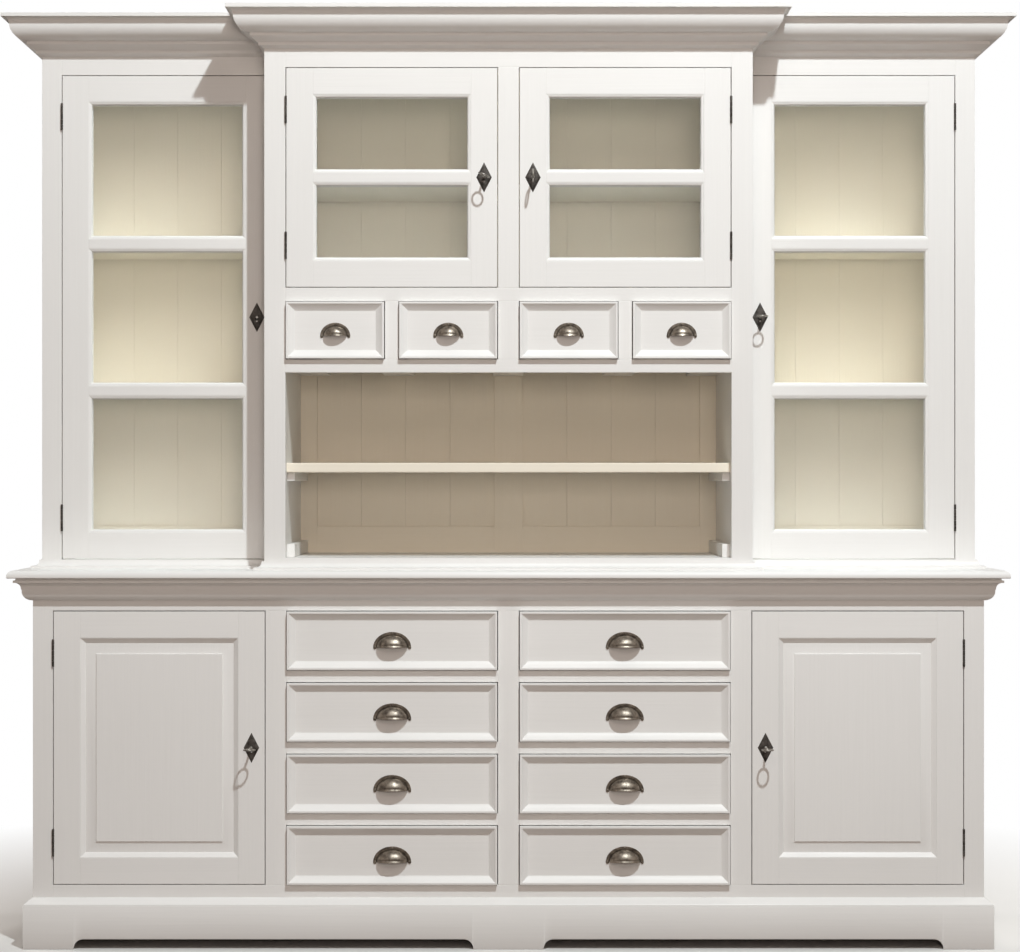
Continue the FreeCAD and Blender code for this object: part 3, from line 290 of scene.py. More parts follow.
def weighted(tree, value, weight, rest):
    # The value times its weight, and the rest added to it.
    return maths(tree, "ADD", maths(tree, "MULTIPLY", value, weight), rest)


def blendColour(tree, amount, first, second):
    mix = addNode(tree, "Mix", {"Factor": amount, "A": first, "B": second}, data_type="RGBA")
    return mix.outputs[2]


def brushedPaintGroup():
    # Brush lines along the board, soft clouds of tone, and thinner paint on the edges.
    group, given, result = newGroup("brushedPaint", {
        "Grain": "Vector", "Place": "Vector", "Edge": "Float", "Paint": "Color", "Shade": "Color",
        "Under": "Color", "Brush": "Float", "Wear": "Float"})
    grain, place, edge, paint, shade, under, brush, wear = given.outputs[:8]
    strokes = noiseAt(group, grain, (3.5, 210, 210), 4, 0.6)
    hairs = noiseAt(group, grain, (14, 900, 900), 2)
    cloud = noiseAt(group, place, (1.7, 1.7, 1.7), 3)
    rubbed = noiseAt(group, place, (34, 34, 34), 4, 0.65)
    lines = ramp(group, strokes, 0.32, 0.7)
    tone = weighted(group, lines, brush, maths(group, "MULTIPLY", ramp(group, cloud, 0.3, 0.75), 0.45))
    colour = blendColour(group, tone, paint, shade)
    thin = maths(group, "MULTIPLY", maths(group, "MULTIPLY", edge, wear), ramp(group, rubbed, 0.5, 0.72))
    fill(group, result, {"Color": blendColour(group, thin, colour, under),
                         "Roughness": weighted(group, thin, 0.2, weighted(group, lines, 0.14, 0.36)),
                         "Height": weighted(group, lines, 0.7, maths(group, "MULTIPLY", hairs, 0.5))})
    return group


def rubbedMetalGroup():
    # Dark patina in patches with bright metal where hands have rubbed it, and a fine cast skin.
    group, given, result = newGroup("rubbedMetal", {"Place": "Vector", "Dark": "Color", "Bright": "Color",
                                                    "Rub": "Float"})
    place, dark, bright, rub = given.outputs[:4]
    patches = noiseAt(group, place, (90, 90, 90), 4, 0.6)
    skin = noiseAt(group, place, (700, 700, 700), 3)
    scratch = noiseAt(group, place, (60, 900, 1400), 2)
    amount = maths(group, "MULTIPLY", ramp(group, patches, 0.32, 0.68), rub)
    fill(group, result, {"Color": blendColour(group, amount, dark, bright),
                         "Roughness": weighted(group, scratch, 0.12, weighted(group, patches, -0.22, 0.46)),
                         "Height": weighted(group, scratch, 0.4, skin)})
    return group


paintGroup = brushedPaintGroup()
metalGroup = rubbedMetalGroup()


def newMaterial(name):
    material = bpy.data.materials.new(name)
    material.use_nodes = True
    tree = material.node_tree
    return material, tree, tree.nodes["Principled BSDF"]


def useGroup(tree, shader, group, values, bumpDistance, bumpStrength):
    finish = addNode(tree, "Group", values, node_tree=group)
    bump = addNode(tree, "Bump", {"Height": finish.outputs["Height"], "Strength": bumpStrength,
                                  "Distance": bumpDistance})
    fill(tree, shader, {"Base Color": finish.outputs["Color"], "Roughness": finish.outputs["Roughness"],
                        "Normal": bump.outputs[0]})


def paintMaterial(name, settings):
    material, tree, shader = newMaterial(name)
    shader.inputs["Specular IOR Level"].default_value = settings["gloss"]
    grain = addNode(tree, "Attribute", attribute_name="grain").outputs["Vector"]
    edge = addNode(tree, "Attribute", attribute_name="edge").outputs["Fac"]
    place = addNode(tree, "TexCoord").outputs["Object"]
    chosen = {key.capitalize(): settings[key] for key in ("paint", "shade", "under", "brush", "wear")}
    useGroup(tree, shader, paintGroup, {"Grain": grain, "Place": place, "Edge": edge, **chosen},
             settings["bump"], 1.0)
    return material


def metalMaterial(name, settings):
    material, tree, shader = newMaterial(name)
    shader.inputs["Metallic"].default_value = settings["metallic"]
    place = addNode(tree, "TexCoord").outputs["Object"]
    chosen = {key.capitalize(): settings[key] for key in ("dark", "bright", "rub")}
    useGroup(tree, shader, metalGroup, {"Place": place, **chosen}, settings["bump"], 0.6)
    return material


def glassMaterial(name, settings):
    # Clear pane: light that only passes through to cast shadows goes straight on.
    material, tree, shader = newMaterial(name)
    place = addNode(tree, "TexCoord").outputs["Object"]
    wave = noiseAt(tree, place, (5, 5, 3), 2)
    bump = addNode(tree, "Bump", {"Height": wave, "Strength": 0.25, "Distance": settings["wave"]})
    fill(tree, shader, {"Base Color": settings["tint"], "Roughness": settings["roughness"],
                        "IOR": settings["ior"], "Transmission Weight": 1.0, "Normal": bump.outputs[0]})
    through = addNode(tree, "BsdfTransparent", {"Color": settings["shadow"]})
    light = addNode(tree, "LightPath")
    mix = addNode(tree, "MixShader", {0: light.outputs["Is Shadow Ray"], 1: shader.outputs[0],
                                      2: through.outputs[0]})
    fill(tree, tree.nodes["Material Output"], {"Surface": mix.outputs[0]})
    return material


paintSettings = {
    "white": {"paint": (0.865, 0.858, 0.842, 1), "shade": (0.785, 0.776, 0.755, 1),
              "under": (0.62, 0.58, 0.53, 1), "brush": 0.22, "wear": 0.5, "bump": 0.0001, "gloss": 0.4},
    "cream": {"paint": (0.92, 0.865, 0.75, 1), "shade": (0.89, 0.825, 0.69, 1),
              "under": (0.66, 0.58, 0.44, 1), "brush": 0.25, "wear": 0.4, "bump": 0.00014, "gloss": 0.3},
}
metalSettings = {
    "pewter": {"dark": (0.11, 0.093, 0.077, 1), "bright": (0.44, 0.385, 0.32, 1), "rub": 0.8, "metallic": 1.0,
               "bump": 0.00006},
    "iron": {"dark": (0.05, 0.045, 0.041, 1), "bright": (0.2, 0.184, 0.168, 1), "rub": 0.8, "metallic": 0.85,
             "bump": 0.00012},
    "steel": {"dark": (0.15, 0.14, 0.125, 1), "bright": (0.5, 0.47, 0.43, 1), "rub": 0.9, "metallic": 1.0,
              "bump": 0.00006},
}
glassSettings = {"tint": (0.985, 0.995, 0.99, 1), "roughness": 0.0, "ior": 1.45, "wave": 0.0004,
                 "shadow": (0.99, 1, 0.99, 1)}

# The finish of each material slot.
finishes = {"white_paint": paintMaterial("whitePaint", paintSettings["white"]),
            "cream_paint": paintMaterial("creamPaint", paintSettings["cream"]),
            "aged_brass": metalMaterial("agedPewter", metalSettings["pewter"]),
            "black_iron": metalMaterial("blackIron", metalSettings["iron"]),
            "key_steel": metalMaterial("keySteel", metalSettings["steel"]),
            "clear_glass": glassMaterial("clearGlass", glassSettings)}
print("materials ready")

# Planes and widths that several pieces share, in millimetres.
front, frameBack, back, backFace = -189, -167, 271, 246
wingFront, wingBack = -74, -52
halfWidth, innerSide, halfCentre, centreInner = 1100, 1080, 565, 516
worktopTop, upperTop, upperHead = 874, 2150, 2037
baseBottom, baseHead, nicheFloor = 145.5, 780, 902


def wholePath(half):
    # Corners as (x, y, mitre x, mitre y), given from the middle to the right and mirrored to the left.
    return [(-x, y, -mitreX, mitreY) for x, y, mitreX, mitreY in half[::-1]] + half


straightPath = wholePath([(halfWidth, front, 1, -1), (halfWidth, back, 1, 0)])
breakfrontPath = wholePath([(halfCentre, front, 1, -1), (halfCentre, wingFront, 1, -1),
                            (halfWidth, wingFront, 1, -1), (halfWidth, back, 1, 0)])
trim = {
    "plinth": {"foot": 99, "projection": 19, "height": 17.5,
               "shares": [(1, 0, 0), (1, 0.1, 0), (0.97, 0.2, 0), (0.87, 0.3, 0), (0.1, 1, 0)]},
    "worktop": {"foot": 804, "projection": 42, "height": 52,
                "shares": [(0.06, 0, 1), (0.52, 0.45, 0), (0.56, 0.53, -1), (0.86, 0.8, 0), (0.93, 0.8, 0),
                           (0.93, 0.9, 0), (0.81, 0.9, 0), (0.81, 1, 0)]},
    "upperBase": {"foot": 874, "projection": 23, "height": 20,
                  "shares": [(1, 0, 0), (1, 0.3, 0), (0.87, 0.3, -1), (0.26, 0.85, 0), (0.26, 1, 0)]},
    "cornice": {"foot": 2080, "projection": 82, "height": 90,
                "shares": [(0, 0, 0), (0.155, 0.068, 0), (0.155, 0.143, 0), (0.372, 0.28, 0),
                           (0.372, 0.354, 1), (0.8, 0.79, -1), (0.98, 0.91, 0), (1, 0.91, 0), (1, 1, 0)]},
}


def trimProfile(settings):
    # The shares of projection and height filled in, and closed along the flat back.
    reach, tall = settings["projection"], settings["height"]
    edge = arcEdge([(out * reach, up * tall, bend) for out, up, bend in settings["shares"]])
    ends = [(0, tall)] if edge[0][0] == 0 else [(0, tall), (0, 0)]
    return np.concatenate([edge, np.array(ends, float)])


def trimRun(name, path):
    return moulding(trimProfile(trim[name]), path, trim[name]["foot"])


makePiece("trimMouldings", [trimRun("plinth", straightPath), trimRun("worktop", straightPath),
                            trimRun("upperBase", breakfrontPath)],
          "white_paint", "cabinet", "trim_mouldings", sharp=30)
makePiece("cornices", [trimRun("cornice", breakfrontPath)], "white_paint", "cabinet", "cornices", sharp=30)
print("mouldings made")

plinth = {"height": 99, "board": 20, "cutHeight": 23, "outerFoot": 117, "centreFoot": 162, "arc": 22,
          "soft": 1.5}


def plinthFront():
    # The board's outline round its thickness is carried along x, while its foot follows the floor and
    # rises in a quarter round over each opening between the feet.
    reach = halfWidth + plinth["board"]
    foot, middle = reach - plinth["outerFoot"], plinth["centreFoot"] / 2
    t = np.linspace(0, math.pi / 2, 9)
    rise = plinth["cutHeight"] * np.sin(t)
    swing = plinth["arc"] * (1 - np.cos(t))
    xs = np.concatenate([[reach], foot - swing, (middle + swing)[::-1]])
    lows = np.concatenate([[0], rise, rise[::-1]])
    xs = np.concatenate([-xs, xs[::-1]])
    lows = np.concatenate([lows, lows[::-1]])
    soft = plinth["soft"]
    y0, y1 = front - plinth["board"], front
    bend = np.array([0, 0.29, 1]) * soft
    section = [(y0 + a, 0, b) for a, b in zip(bend, bend[::-1])][::-1]
    section += [(y0 + a, 1, -b) for a, b in zip(bend, bend[::-1])]
    y, share, shift = np.array(section + [(y1, 1, 0), (y1, 0, 0)]).T
    return loft(gridPoints(xs[:, None], y, lows[:, None] * (1 - share) + plinth["height"] * share + shift))


plinthSide = (halfWidth, halfWidth + plinth["board"], front, back, 0, plinth["height"])
plinthRear = (-innerSide, innerSide, back - plinth["board"], back, 0, plinth["height"])
makePiece("plinthBoards", [plinthFront(), boards(bothSides([plinthSide], plinthRear))],
          "white_paint", "cabinet", "plinth_boards")

worktop = {"overhang": 52, "thickness": 18, "nosing": 13.5, "arris": 2.5, "flat": 2, "inside": 40}


def worktopSlab():
    # Loops of the slab's outline, one inside the other: the underside, the small round below, the large
    # round of the nosing above and the top. At the back the loops stay in the plane of the wall.
    low, high = worktopTop - worktop["thickness"], worktopTop
    big, small, flat = worktop["nosing"], worktop["arris"], worktop["flat"]
    t = np.radians(np.linspace(0, 90, 9))
    inset = np.concatenate([[worktop["inside"], small + flat], small * (1 - np.sin(t)),
                            big * (1 - np.cos(t)), [big + flat, worktop["inside"]]])
    level = np.concatenate([[low, low], low + small * (1 - np.cos(t)), high - big + big * np.sin(t),
                            [high, high]])
    reach = halfWidth + worktop["overhang"] - inset
    ahead = front - worktop["overhang"] + inset
    return loft(gridPoints(reach[:, None] * np.array([-1, 1, 1, -1]),
                           np.where([True, True, False, False], ahead[:, None], back), level[:, None]))


makePiece("worktop", [worktopSlab()], "white_paint", "cabinet", "worktop")
print("plinth and worktop made")

drawers = {"rows": 4, "rail": 27, "opening": (24, 514), "gap": 2, "front": 20, "length": 390,
           "sideHeight": 112, "smallOpening": ((-516, -285.5), (-254.5, -24), (24, 254.5), (285.5, 516)),
           "smallFoot": 1361, "smallHead": 1496, "smallLength": 330, "smallSideHeight": 100, "side": 12,
           "bottom": 6, "bottomRise": 8, "running": 0.3, "mouldingProud": 12, "mouldingWidth": 20.5,
           "shares": [(0, 0), (0.97, 0), (1, 0.02), (1, 0.21), (0.95, 0.24), (0.1, 0.88), (0.08, 0.94),
                      (0, 0.95)]}
drawerPitch = (baseHead - baseBottom - drawers["rail"] * (drawers["rows"] - 1)) / drawers["rows"]
rowFoot = [baseBottom + (drawerPitch + drawers["rail"]) * row for row in range(drawers["rows"])]
tallDoor = {"low": 897, "high": 2035, "rail": 60, "bar": 22, "panes": 3, "face": wingFront, "hinge": 1052,
            "hingeInner": 991, "lock": 567, "lockInner": 620, "stop": 12.3, "reach": 0}
centreDoor = {"low": 1529, "high": 2035, "rail": 60, "bar": 22, "panes": 2, "face": front, "hinge": 514,
              "hingeInner": 453, "lock": 26, "lockInner": 87, "stop": 0, "reach": 12}
baseDoor = {"low": 147.5, "high": 778, "rail": 61, "bar": 0, "panes": 1, "face": front, "hinge": 1052,
            "hingeInner": 991, "lock": 564, "lockInner": 625, "stop": 0, "reach": 12}


def paneSpan(door, row):
    tall = (door["high"] - door["low"] - 2 * door["rail"] - door["bar"] * (door["panes"] - 1)) / door["panes"]
    foot = door["low"] + door["rail"] + (tall + door["bar"]) * row
    return foot, foot + tall


# Heights (z), depths (y) and widths (x) of the fixed boards.
cabinet = {"floor": 127.5, "stretcher": 838, "top": 856, "faceFoot": 60, "rearBoard": 12, "half": 9,
           "post": 24, "partition": 538, "stretcherFront": -87, "stretcherRear": 179, "doorStile": 1054,
           "drawerStile": (514, 562), "runner": 36, "runnerPlaces": (9, 493), "runnerThick": 20,
           "smallRunners": ((441, 547), (232.5, 307.5)), "middleRunner": 37.5, "wingFloor": 892,
           "wingRail": 895, "ceiling": 2132, "ceilingThick": 18, "centreSide": 547,
           "centreFloors": (884, 1509, 2132), "lining": 12, "cleatIn": 498, "cleatFront": -144,
           "cleats": ((1080, 1100), (nicheFloor, 933)), "stopStrip": 12, "stopGap": 0.3,
           "smallPost": (254.5, 285.5), "smallPostMiddle": 270, "nicheHead": 1331, "doorFoot": 1527,
           "rearRails": (967, 2085), "rearWing": (605, 1040), "rearCentre": (35, 476), "planks": 4,
           "plankGap": 0.3, "plank": (252, 266), "shelf": 20, "shelfBack": 25, "centreShelf": (1773, 1793),
           "nicheShelf": (1100, 1122), "nicheShelfBack": 30}


def cabinetBoards():
    # Every fixed board, by the node it stands for.
    given, half, top = cabinet, cabinet["half"], cabinet["top"]
    smallFoot, smallHead = drawers["smallFoot"], drawers["smallHead"]
    inner, thick, rear = (-innerSide, innerSide), (front, frameBack), (backFace, back)
    deep, inside = (frameBack, back - given["rearBoard"]), (frameBack, backFace)
    partitions = [(middle - half, middle + half, *deep, baseBottom, given["stretcher"])
                  for middle in (-given["partition"], 0, given["partition"])]
    carcase = bothSides([(innerSide, halfWidth, frameBack, back, 0, top)], partitions + [
        (*inner, *deep, given["floor"], baseBottom),
        (*inner, frameBack, given["stretcherFront"], given["stretcher"], top),
        (*inner, given["stretcherRear"], deep[1], given["stretcher"], top),
        (*inner, deep[1], back, plinth["height"], top)])
    post, stile, centre = given["post"], given["doorStile"], given["drawerStile"]
    face = [(stile, halfWidth, *thick, given["faceFoot"], top), (*centre, *thick, baseBottom, baseHead)]
    face += [(post, centre[0], *thick, foot - drawers["rail"], foot) for foot in rowFoot[1:]]
    face = bothSides(face, [(-post, post, *thick, baseBottom, baseHead),
                            (-stile, stile, *thick, given["faceFoot"], baseBottom),
                            (-stile, stile, *thick, baseHead, top)])
    runners = [(x, x + given["runner"], *deep, foot - given["runnerThick"], foot)
               for foot in rowFoot[1:] for x in given["runnerPlaces"]]
    level = (smallFoot - given["runnerThick"], smallFoot)
    runners += [(*span, *inside, *level) for span in given["smallRunners"]]
    middle = given["middleRunner"]
    runners = bothSides(runners, [(-middle, middle, *inside, *level)])
    side, strip = given["centreSide"], wingBack + given["stopGap"]
    wingDeep, ceiling, tall = (wingBack, backFace), given["ceiling"], (worktopTop, upperTop)
    upper = [(innerSide, halfWidth, wingBack, back, *tall), (side, halfCentre, frameBack, back, *tall),
             (halfCentre, innerSide, *wingDeep, worktopTop, given["wingFloor"]),
             (halfCentre, innerSide, *wingDeep, ceiling, upperTop),
             (centreInner, centreInner + given["lining"], *inside, nicheFloor, level[0])]
    upper += [(given["cleatIn"], centreInner, given["cleatFront"], backFace, *span)
              for span in given["cleats"]]
    upper.append((halfCentre, halfCentre + given["stopStrip"], strip, strip + given["stopStrip"],
                  given["wingFloor"], ceiling))
    floors = [(-side, side, *inside, low, low + given["ceilingThick"]) for low in given["centreFloors"]]
    dividers = [(middle - half, middle + half, *inside, smallFoot, given["centreFloors"][1])
                for middle in (-given["smallPostMiddle"], 0, given["smallPostMiddle"])]
    upper = bothSides(upper, floors + dividers)
    wing = (wingFront, wingBack)
    frames = [(stile, halfWidth, *wing, *tall),
              (halfCentre, stile, *wing, worktopTop, given["wingRail"]),
              (halfCentre, stile, *wing, upperHead, upperTop),
              (centreInner, halfCentre, *thick, *tall), (*given["smallPost"], *thick, smallFoot, smallHead)]
    rails = [(-centreInner, centreInner, *thick, *span) for span in (
        (worktopTop, nicheFloor), (given["nicheHead"], smallFoot), (smallHead, given["doorFoot"]),
        (upperHead, upperTop))]
    frames = bothSides(frames, rails + [(-post, post, *thick, smallFoot, smallHead),
                                        (-post, post, *thick, given["doorFoot"], upperHead)])
    wide, middle, (low, high) = given["rearWing"], given["rearCentre"], given["rearRails"]
    rearFrame = [(halfCentre, wide[0], *rear, *tall), (wide[1], innerSide, *rear, *tall),
                 (*wide, *rear, worktopTop, low), (*wide, *rear, high, upperTop),
                 (middle[1], side, *rear, *tall), (*middle, *rear, worktopTop, low),
                 (*middle, *rear, smallFoot, smallHead), (*middle, *rear, high, upperTop)]
    rearFrame = bothSides(rearFrame, [(-middle[0], middle[0], *rear, *tall)])
    planks = []
    for (x0, x1), *span in ((wide, low, high), (middle, low, smallFoot), (middle, smallHead, high)):
        pitch = (x1 - x0) / given["planks"]
        planks += [(x0 + pitch * turn, x0 + pitch * (turn + 1) - given["plankGap"], *given["plank"], *span)
                   for turn in range(given["planks"])]
    shelves = [(halfCentre, innerSide, wingBack + given["shelfBack"], backFace,
                paneSpan(tallDoor, row)[0] - given["shelf"], paneSpan(tallDoor, row)[0]) for row in (1, 2)]
    shelves = bothSides(shelves, [
        (-side, side, frameBack + given["shelfBack"], backFace, *given["centreShelf"]),
        (-centreInner, centreInner, front + given["nicheShelfBack"], backFace, *given["nicheShelf"])])
    return {"base_carcase": carcase, "base_face_frame": face, "drawer_runners": runners,
            "upper_carcase": upper, "upper_face_frame": frames, "back_frame": rearFrame,
            "back_planks": bothSides(planks), "shelves": shelves}


creamNodes = ("back_frame", "back_planks", "shelves")
# Painted frames show hardly any joint, so the edges of their boards (soft, worn) are nearly sharp.
frameNodes = ("base_face_frame", "upper_face_frame", "back_planks", "back_frame")
closeJoint = (0.3, 0.2)
for node, boxes in cabinetBoards().items():
    words = node.split("_")
    title = words[0] + "".join(word.capitalize() for word in words[1:])
    made = boards(boxes, *closeJoint) if node in frameNodes else boards(boxes)
    makePiece(title, [made], "cream_paint" if node in creamNodes else "white_paint", "cabinet", node)
print("cabinet boards made")

pull = {"big": {"width": 88, "height": 40, "depth": 24}, "small": {"width": 70, "height": 35, "depth": 20},
        "flange": 7.5, "flangeThick": 2, "wall": 1.6, "lipRise": 4, "bead": 1.0, "beadSpan": 0.09,
        "neck": 0.75, "neckPlace": 0.2, "neckSpan": 0.07, "screw": 2.3, "screwRise": 1, "slot": 0.5,
        "slotDeep": 0.45, "slotTurn": 0.6}


def cupPull(size, x, y, z):
    # Hood: a quarter of a hollow egg, from the lip forward of the drawer (a = 0) up to the drawer's
    # face (a = 90 degrees), carried from one end of the pull to the other. The lip swells into a bead.
    halfWide, tall, depth = size["width"] / 2, size["height"], size["depth"]
    flange, wall, rise = pull["flange"], pull["wall"], pull["lipRise"]
    a = np.radians(np.concatenate([np.linspace(0, 24, 9), np.linspace(30, 90, 9)]))
    b = np.radians(np.linspace(-88.5, 88.5, 41))
    neck = pull["neck"] * np.exp(-((a - pull["neckPlace"]) / pull["neckSpan"]) ** 2)
    roll = pull["bead"] * (np.exp(-(a / pull["beadSpan"]) ** 2) - neck)
    ringY = np.concatenate([np.cos(a) * (depth + roll), (np.cos(a) * (depth - wall))[::-1]])
    ringZ = np.concatenate([np.sin(a) * (tall - flange - rise + roll),
                            (np.sin(a) * (tall - flange - rise - wall))[::-1]])
    reach = np.repeat([halfWide - flange, halfWide - flange - wall], len(a))
    hood = gridPoints(x + np.sin(b)[:, None] * reach, y - np.cos(b)[:, None] * ringY,
                      z + rise + np.cos(b)[:, None] * ringZ)
    # Flange: a flat strip with soft edges that follows the hood's foot and ends in two round ears, where
    # its width is the square root of 1 less the fourth power of the way along the ear.
    t = np.linspace(0, math.pi, 45)
    ear = np.linspace(1, 0, 7)[:-1]
    straight, level = np.ones_like(ear), np.zeros_like(ear)
    midWide, midTall = halfWide - flange / 2, tall - flange / 2 - rise
    outX = np.concatenate([straight, np.cos(t), -straight])[:, None]
    outZ = np.concatenate([level, np.sin(t), level])[:, None]
    pathZ = np.concatenate([-ear * rise, midTall * np.sin(t), -ear[::-1] * rise])[:, None]
    taper = np.concatenate([ear, np.zeros_like(t), ear[::-1]])[:, None]
    narrow = np.sqrt(np.clip(1 - taper ** 4, 0.004, 1))
    offset = flange / 2 * narrow * np.array([-1, -1, -0.82, 0, 0.82, 1, 1])
    lift = np.array([0, 0.5, 1, 1.1, 1, 0.5, 0])
    strip = gridPoints(x + midWide * outX + outX * offset, y - pull["flangeThick"] * lift,
                       z + rise + pathZ + outZ * offset)
    parts = [loft(hood), loft(strip)]
    spots = [(x, z + tall - flange / 2), (x - midWide, z + rise + pull["screwRise"]),
             (x + midWide, z + rise + pull["screwRise"])]
    return parts + [screwHead(spotX, y - pull["flangeThick"], spotZ) for spotX, spotZ in spots]


def screwHead(x, y, z):
    # A low dome turned about the screw; the depth drops where a straight slot crosses it.
    radius = np.concatenate([[1, 1], np.linspace(0.97, 0.02, 9)]) * pull["screw"]
    t = np.linspace(0, 2 * math.pi, 24, endpoint=False)
    dome = np.sqrt(np.clip(1 - (radius / pull["screw"]) ** 2 * 0.8, 0, 1))
    dome[0] = 0
    slot = np.abs(radius[:, None] * np.sin(t + pull["slotTurn"])) < pull["slot"]
    sunk = pull["slotDeep"] * slot * (np.arange(len(radius)) > 1)[:, None]
    return loft(gridPoints(x + radius[:, None] * np.cos(t), y - dome[:, None] + sunk,
                           z + radius[:, None] * np.sin(t)))


drawerProfile = np.array(drawers["shares"]) * (-drawers["mouldingProud"], drawers["mouldingWidth"])


def makeDrawer(body, node, pullNode, x, foot, head, length, sideHeight, size):
    gap, face = drawers["gap"], front + drawers["front"]
    x = (x[0] + gap, x[1] - gap)
    z = (foot + gap, head - gap)
    low = foot + drawers["running"]
    inner = (x[0] + drawers["side"], x[1] - drawers["side"])
    rear, floor = face + length, low + drawers["bottomRise"]
    tall = (low, low + sideHeight)
    box = [(x[0], inner[0], face, rear, *tall), (inner[1], x[1], face, rear, *tall),
           (*inner, rear - drawers["side"], rear, *tall),
           (*inner, face, rear - drawers["side"], floor, floor + drawers["bottom"])]
    panel = [boards([(*x, front, face, *z)] + box), ringFrame(drawerProfile, x, z, front)]
    makePiece(node.replace("_", "-"), panel, "white_paint", body, node, sharp=30)
    cup = cupPull(size, (x[0] + x[1]) / 2, front, (z[0] + z[1] - size["height"]) / 2)
    makePiece(pullNode.replace("_", "-"), cup, "aged_brass", body, pullNode)


for side, sign in sides.items():
    for row, foot in enumerate(rowFoot):
        number = drawers["rows"] - row
        span = spanOn(sign, *drawers["opening"])
        makeDrawer(f"{side}_drawer_{number}", f"base_drawer_{side}_{number}", f"base_pull_{side}_{number}",
                   span, foot, foot + drawerPitch, drawers["length"], drawers["sideHeight"], pull["big"])
for number, span in enumerate(drawers["smallOpening"], start=1):
    makeDrawer(f"top_drawer_{number}", f"small_drawer_{number}", f"small_pull_{number}", span,
               drawers["smallFoot"], drawers["smallHead"], drawers["smallLength"], drawers["smallSideHeight"],
               pull["small"])
print("drawers made")

doorTrim = {"thick": 22, "beadWidth": 8.5, "beadDepth": 9, "glass": 3, "glassEdge": 0.3, "stickWidth": 11.5,
            "stickDepth": 8.8, "panelEdge": 9, "fieldEdge": 37, "fieldBack": 0.8, "shoulder": 2.6,
            "tongue": 8.8, "tongueThick": 6}
hinge = {"length": 63.5, "inset": 96, "radius": 2.75, "axisAhead": 2.9, "leaf": 0.9, "leafWidth": 16,
         "bridge": 0.9, "knuckles": 5, "doorKnuckles": (1, 3), "frameKnuckles": (0, 2, 4), "play": 0.15,
         "doorGap": 2, "ease": 0.5, "soft": 0.2}
lock = {"wide": 36, "tall": 70, "bevel": ((1, 0), (0.93, 1.3), (0.8, 2.75), (0.74, 3)), "thick": 3, "lip": 0.5,
        "hole": 4, "slot": 4, "drop": 11, "barrel": 8, "bore": 2.68, "play": 0.3}
key = {"shank": 2.6, "stem": 33, "bowWide": 29, "bowLong": 33, "wire": 2.2, "collar": 4.2, "collarLong": 3,
       "collarEase": 0.6, "collarPlace": 9, "tongueWide": 12, "tongueThick": 2.4, "tongueGap": 1,
       "tongueSoft": 0.4}
bowTurns = {"left_base": 0, "right_base": 0, "right_tall": 0, "left_centre": 25, "right_centre": 90}
fixedLeaves = []


def doorBoards(door, sign):
    thick = (door["face"], door["face"] + doorTrim["thick"])
    tall = (door["low"], door["high"])
    between = spanOn(sign, door["hingeInner"], door["lockInner"])
    boxes = [(*spanOn(sign, door["hinge"], door["hingeInner"]), *thick, *tall),
             (*spanOn(sign, door["lock"], door["lockInner"]), *thick, *tall),
             (*between, *thick, door["low"], door["low"] + door["rail"]),
             (*between, *thick, door["high"] - door["rail"], door["high"])]
    for row in range(1, door["panes"]):
        foot = paneSpan(door, row)[0]
        boxes.append((*between, *thick, foot - door["bar"], foot))
    return boxes, between


def glazedDoor(title, door, sign, body):
    # Beads: a small step and a swelling quarter round in front of each pane, a plain strip behind it.
    boxes, between = doorBoards(door, sign)
    deep, wide, face = doorTrim["beadDepth"], doorTrim["beadWidth"], door["face"]
    glassBack, thick = deep + doorTrim["glass"], doorTrim["thick"]
    bead = arcEdge([(0, 0, 0), (0, 0.15 * wide, 0), (0.12 * deep, 0.25 * wide, -1), (0.85 * deep, wide, 0),
                    (deep, wide, 0), (deep, 0, 0)], 6)
    behind = np.array([(glassBack, 0), (glassBack, wide), (thick, wide), (thick, 0)])
    parts, panes = [boards(boxes, *closeJoint)], []
    for row in range(door["panes"]):
        tall = paneSpan(door, row)
        parts += [ringFrame(edge, between, tall, face) for edge in (bead, behind)]
        panes.append((*between, face + deep, face + deep + doorTrim["glass"], *tall))
    makePiece(title + "-frame", parts, "white_paint", body, body + "_frame", sharp=30)
    glass = boards(panes, doorTrim["glassEdge"])
    makePiece(title + "-glass", [glass], "clear_glass", body, body + "_glass")


def panelledDoor(title, door, sign, body):
    # The frame's inner edge slopes in to the panel. The panel is nested rectangles: a tongue in the
    # frame, a bevel that rises away from the frame, a small shoulder and the flat field.
    boxes, between = doorBoards(door, sign)
    high = (door["low"] + door["rail"], door["high"] - door["rail"])
    wide, deep, face = doorTrim["stickWidth"], doorTrim["stickDepth"], door["face"]
    stick = np.array([(0, 0), (0, 0.8), (1, 1.4), (deep - 1.6, wide - 0.8), (deep, wide), (deep, 0)])
    parts = [boards(boxes, *closeJoint), ringFrame(stick, between, high, face)]
    makePiece(title + "-frame", parts, "white_paint", body, body + "_frame", sharp=25)
    tongue, field, edge = doorTrim["tongue"], doorTrim["fieldBack"], doorTrim["fieldEdge"]
    level = doorTrim["panelEdge"]
    rings = np.array([(-tongue, level + doorTrim["tongueThick"]), (-tongue, level), (wide - 1, level),
                      (edge, field + doorTrim["shoulder"]), (edge + 0.3, field + 0.4), (edge + 0.8, field)])
    corner = nested(between, high, rings[:, 0]).swapaxes(0, 1)
    panel = loft(gridPoints(corner[..., 0], face + rings[:, 1:], corner[..., 1]))
    panel["grain"] = panel["grain"][:, [2, 0, 1]]
    makePiece(title + "-panel", [panel], "white_paint", body, body + "_panel", sharp=20)


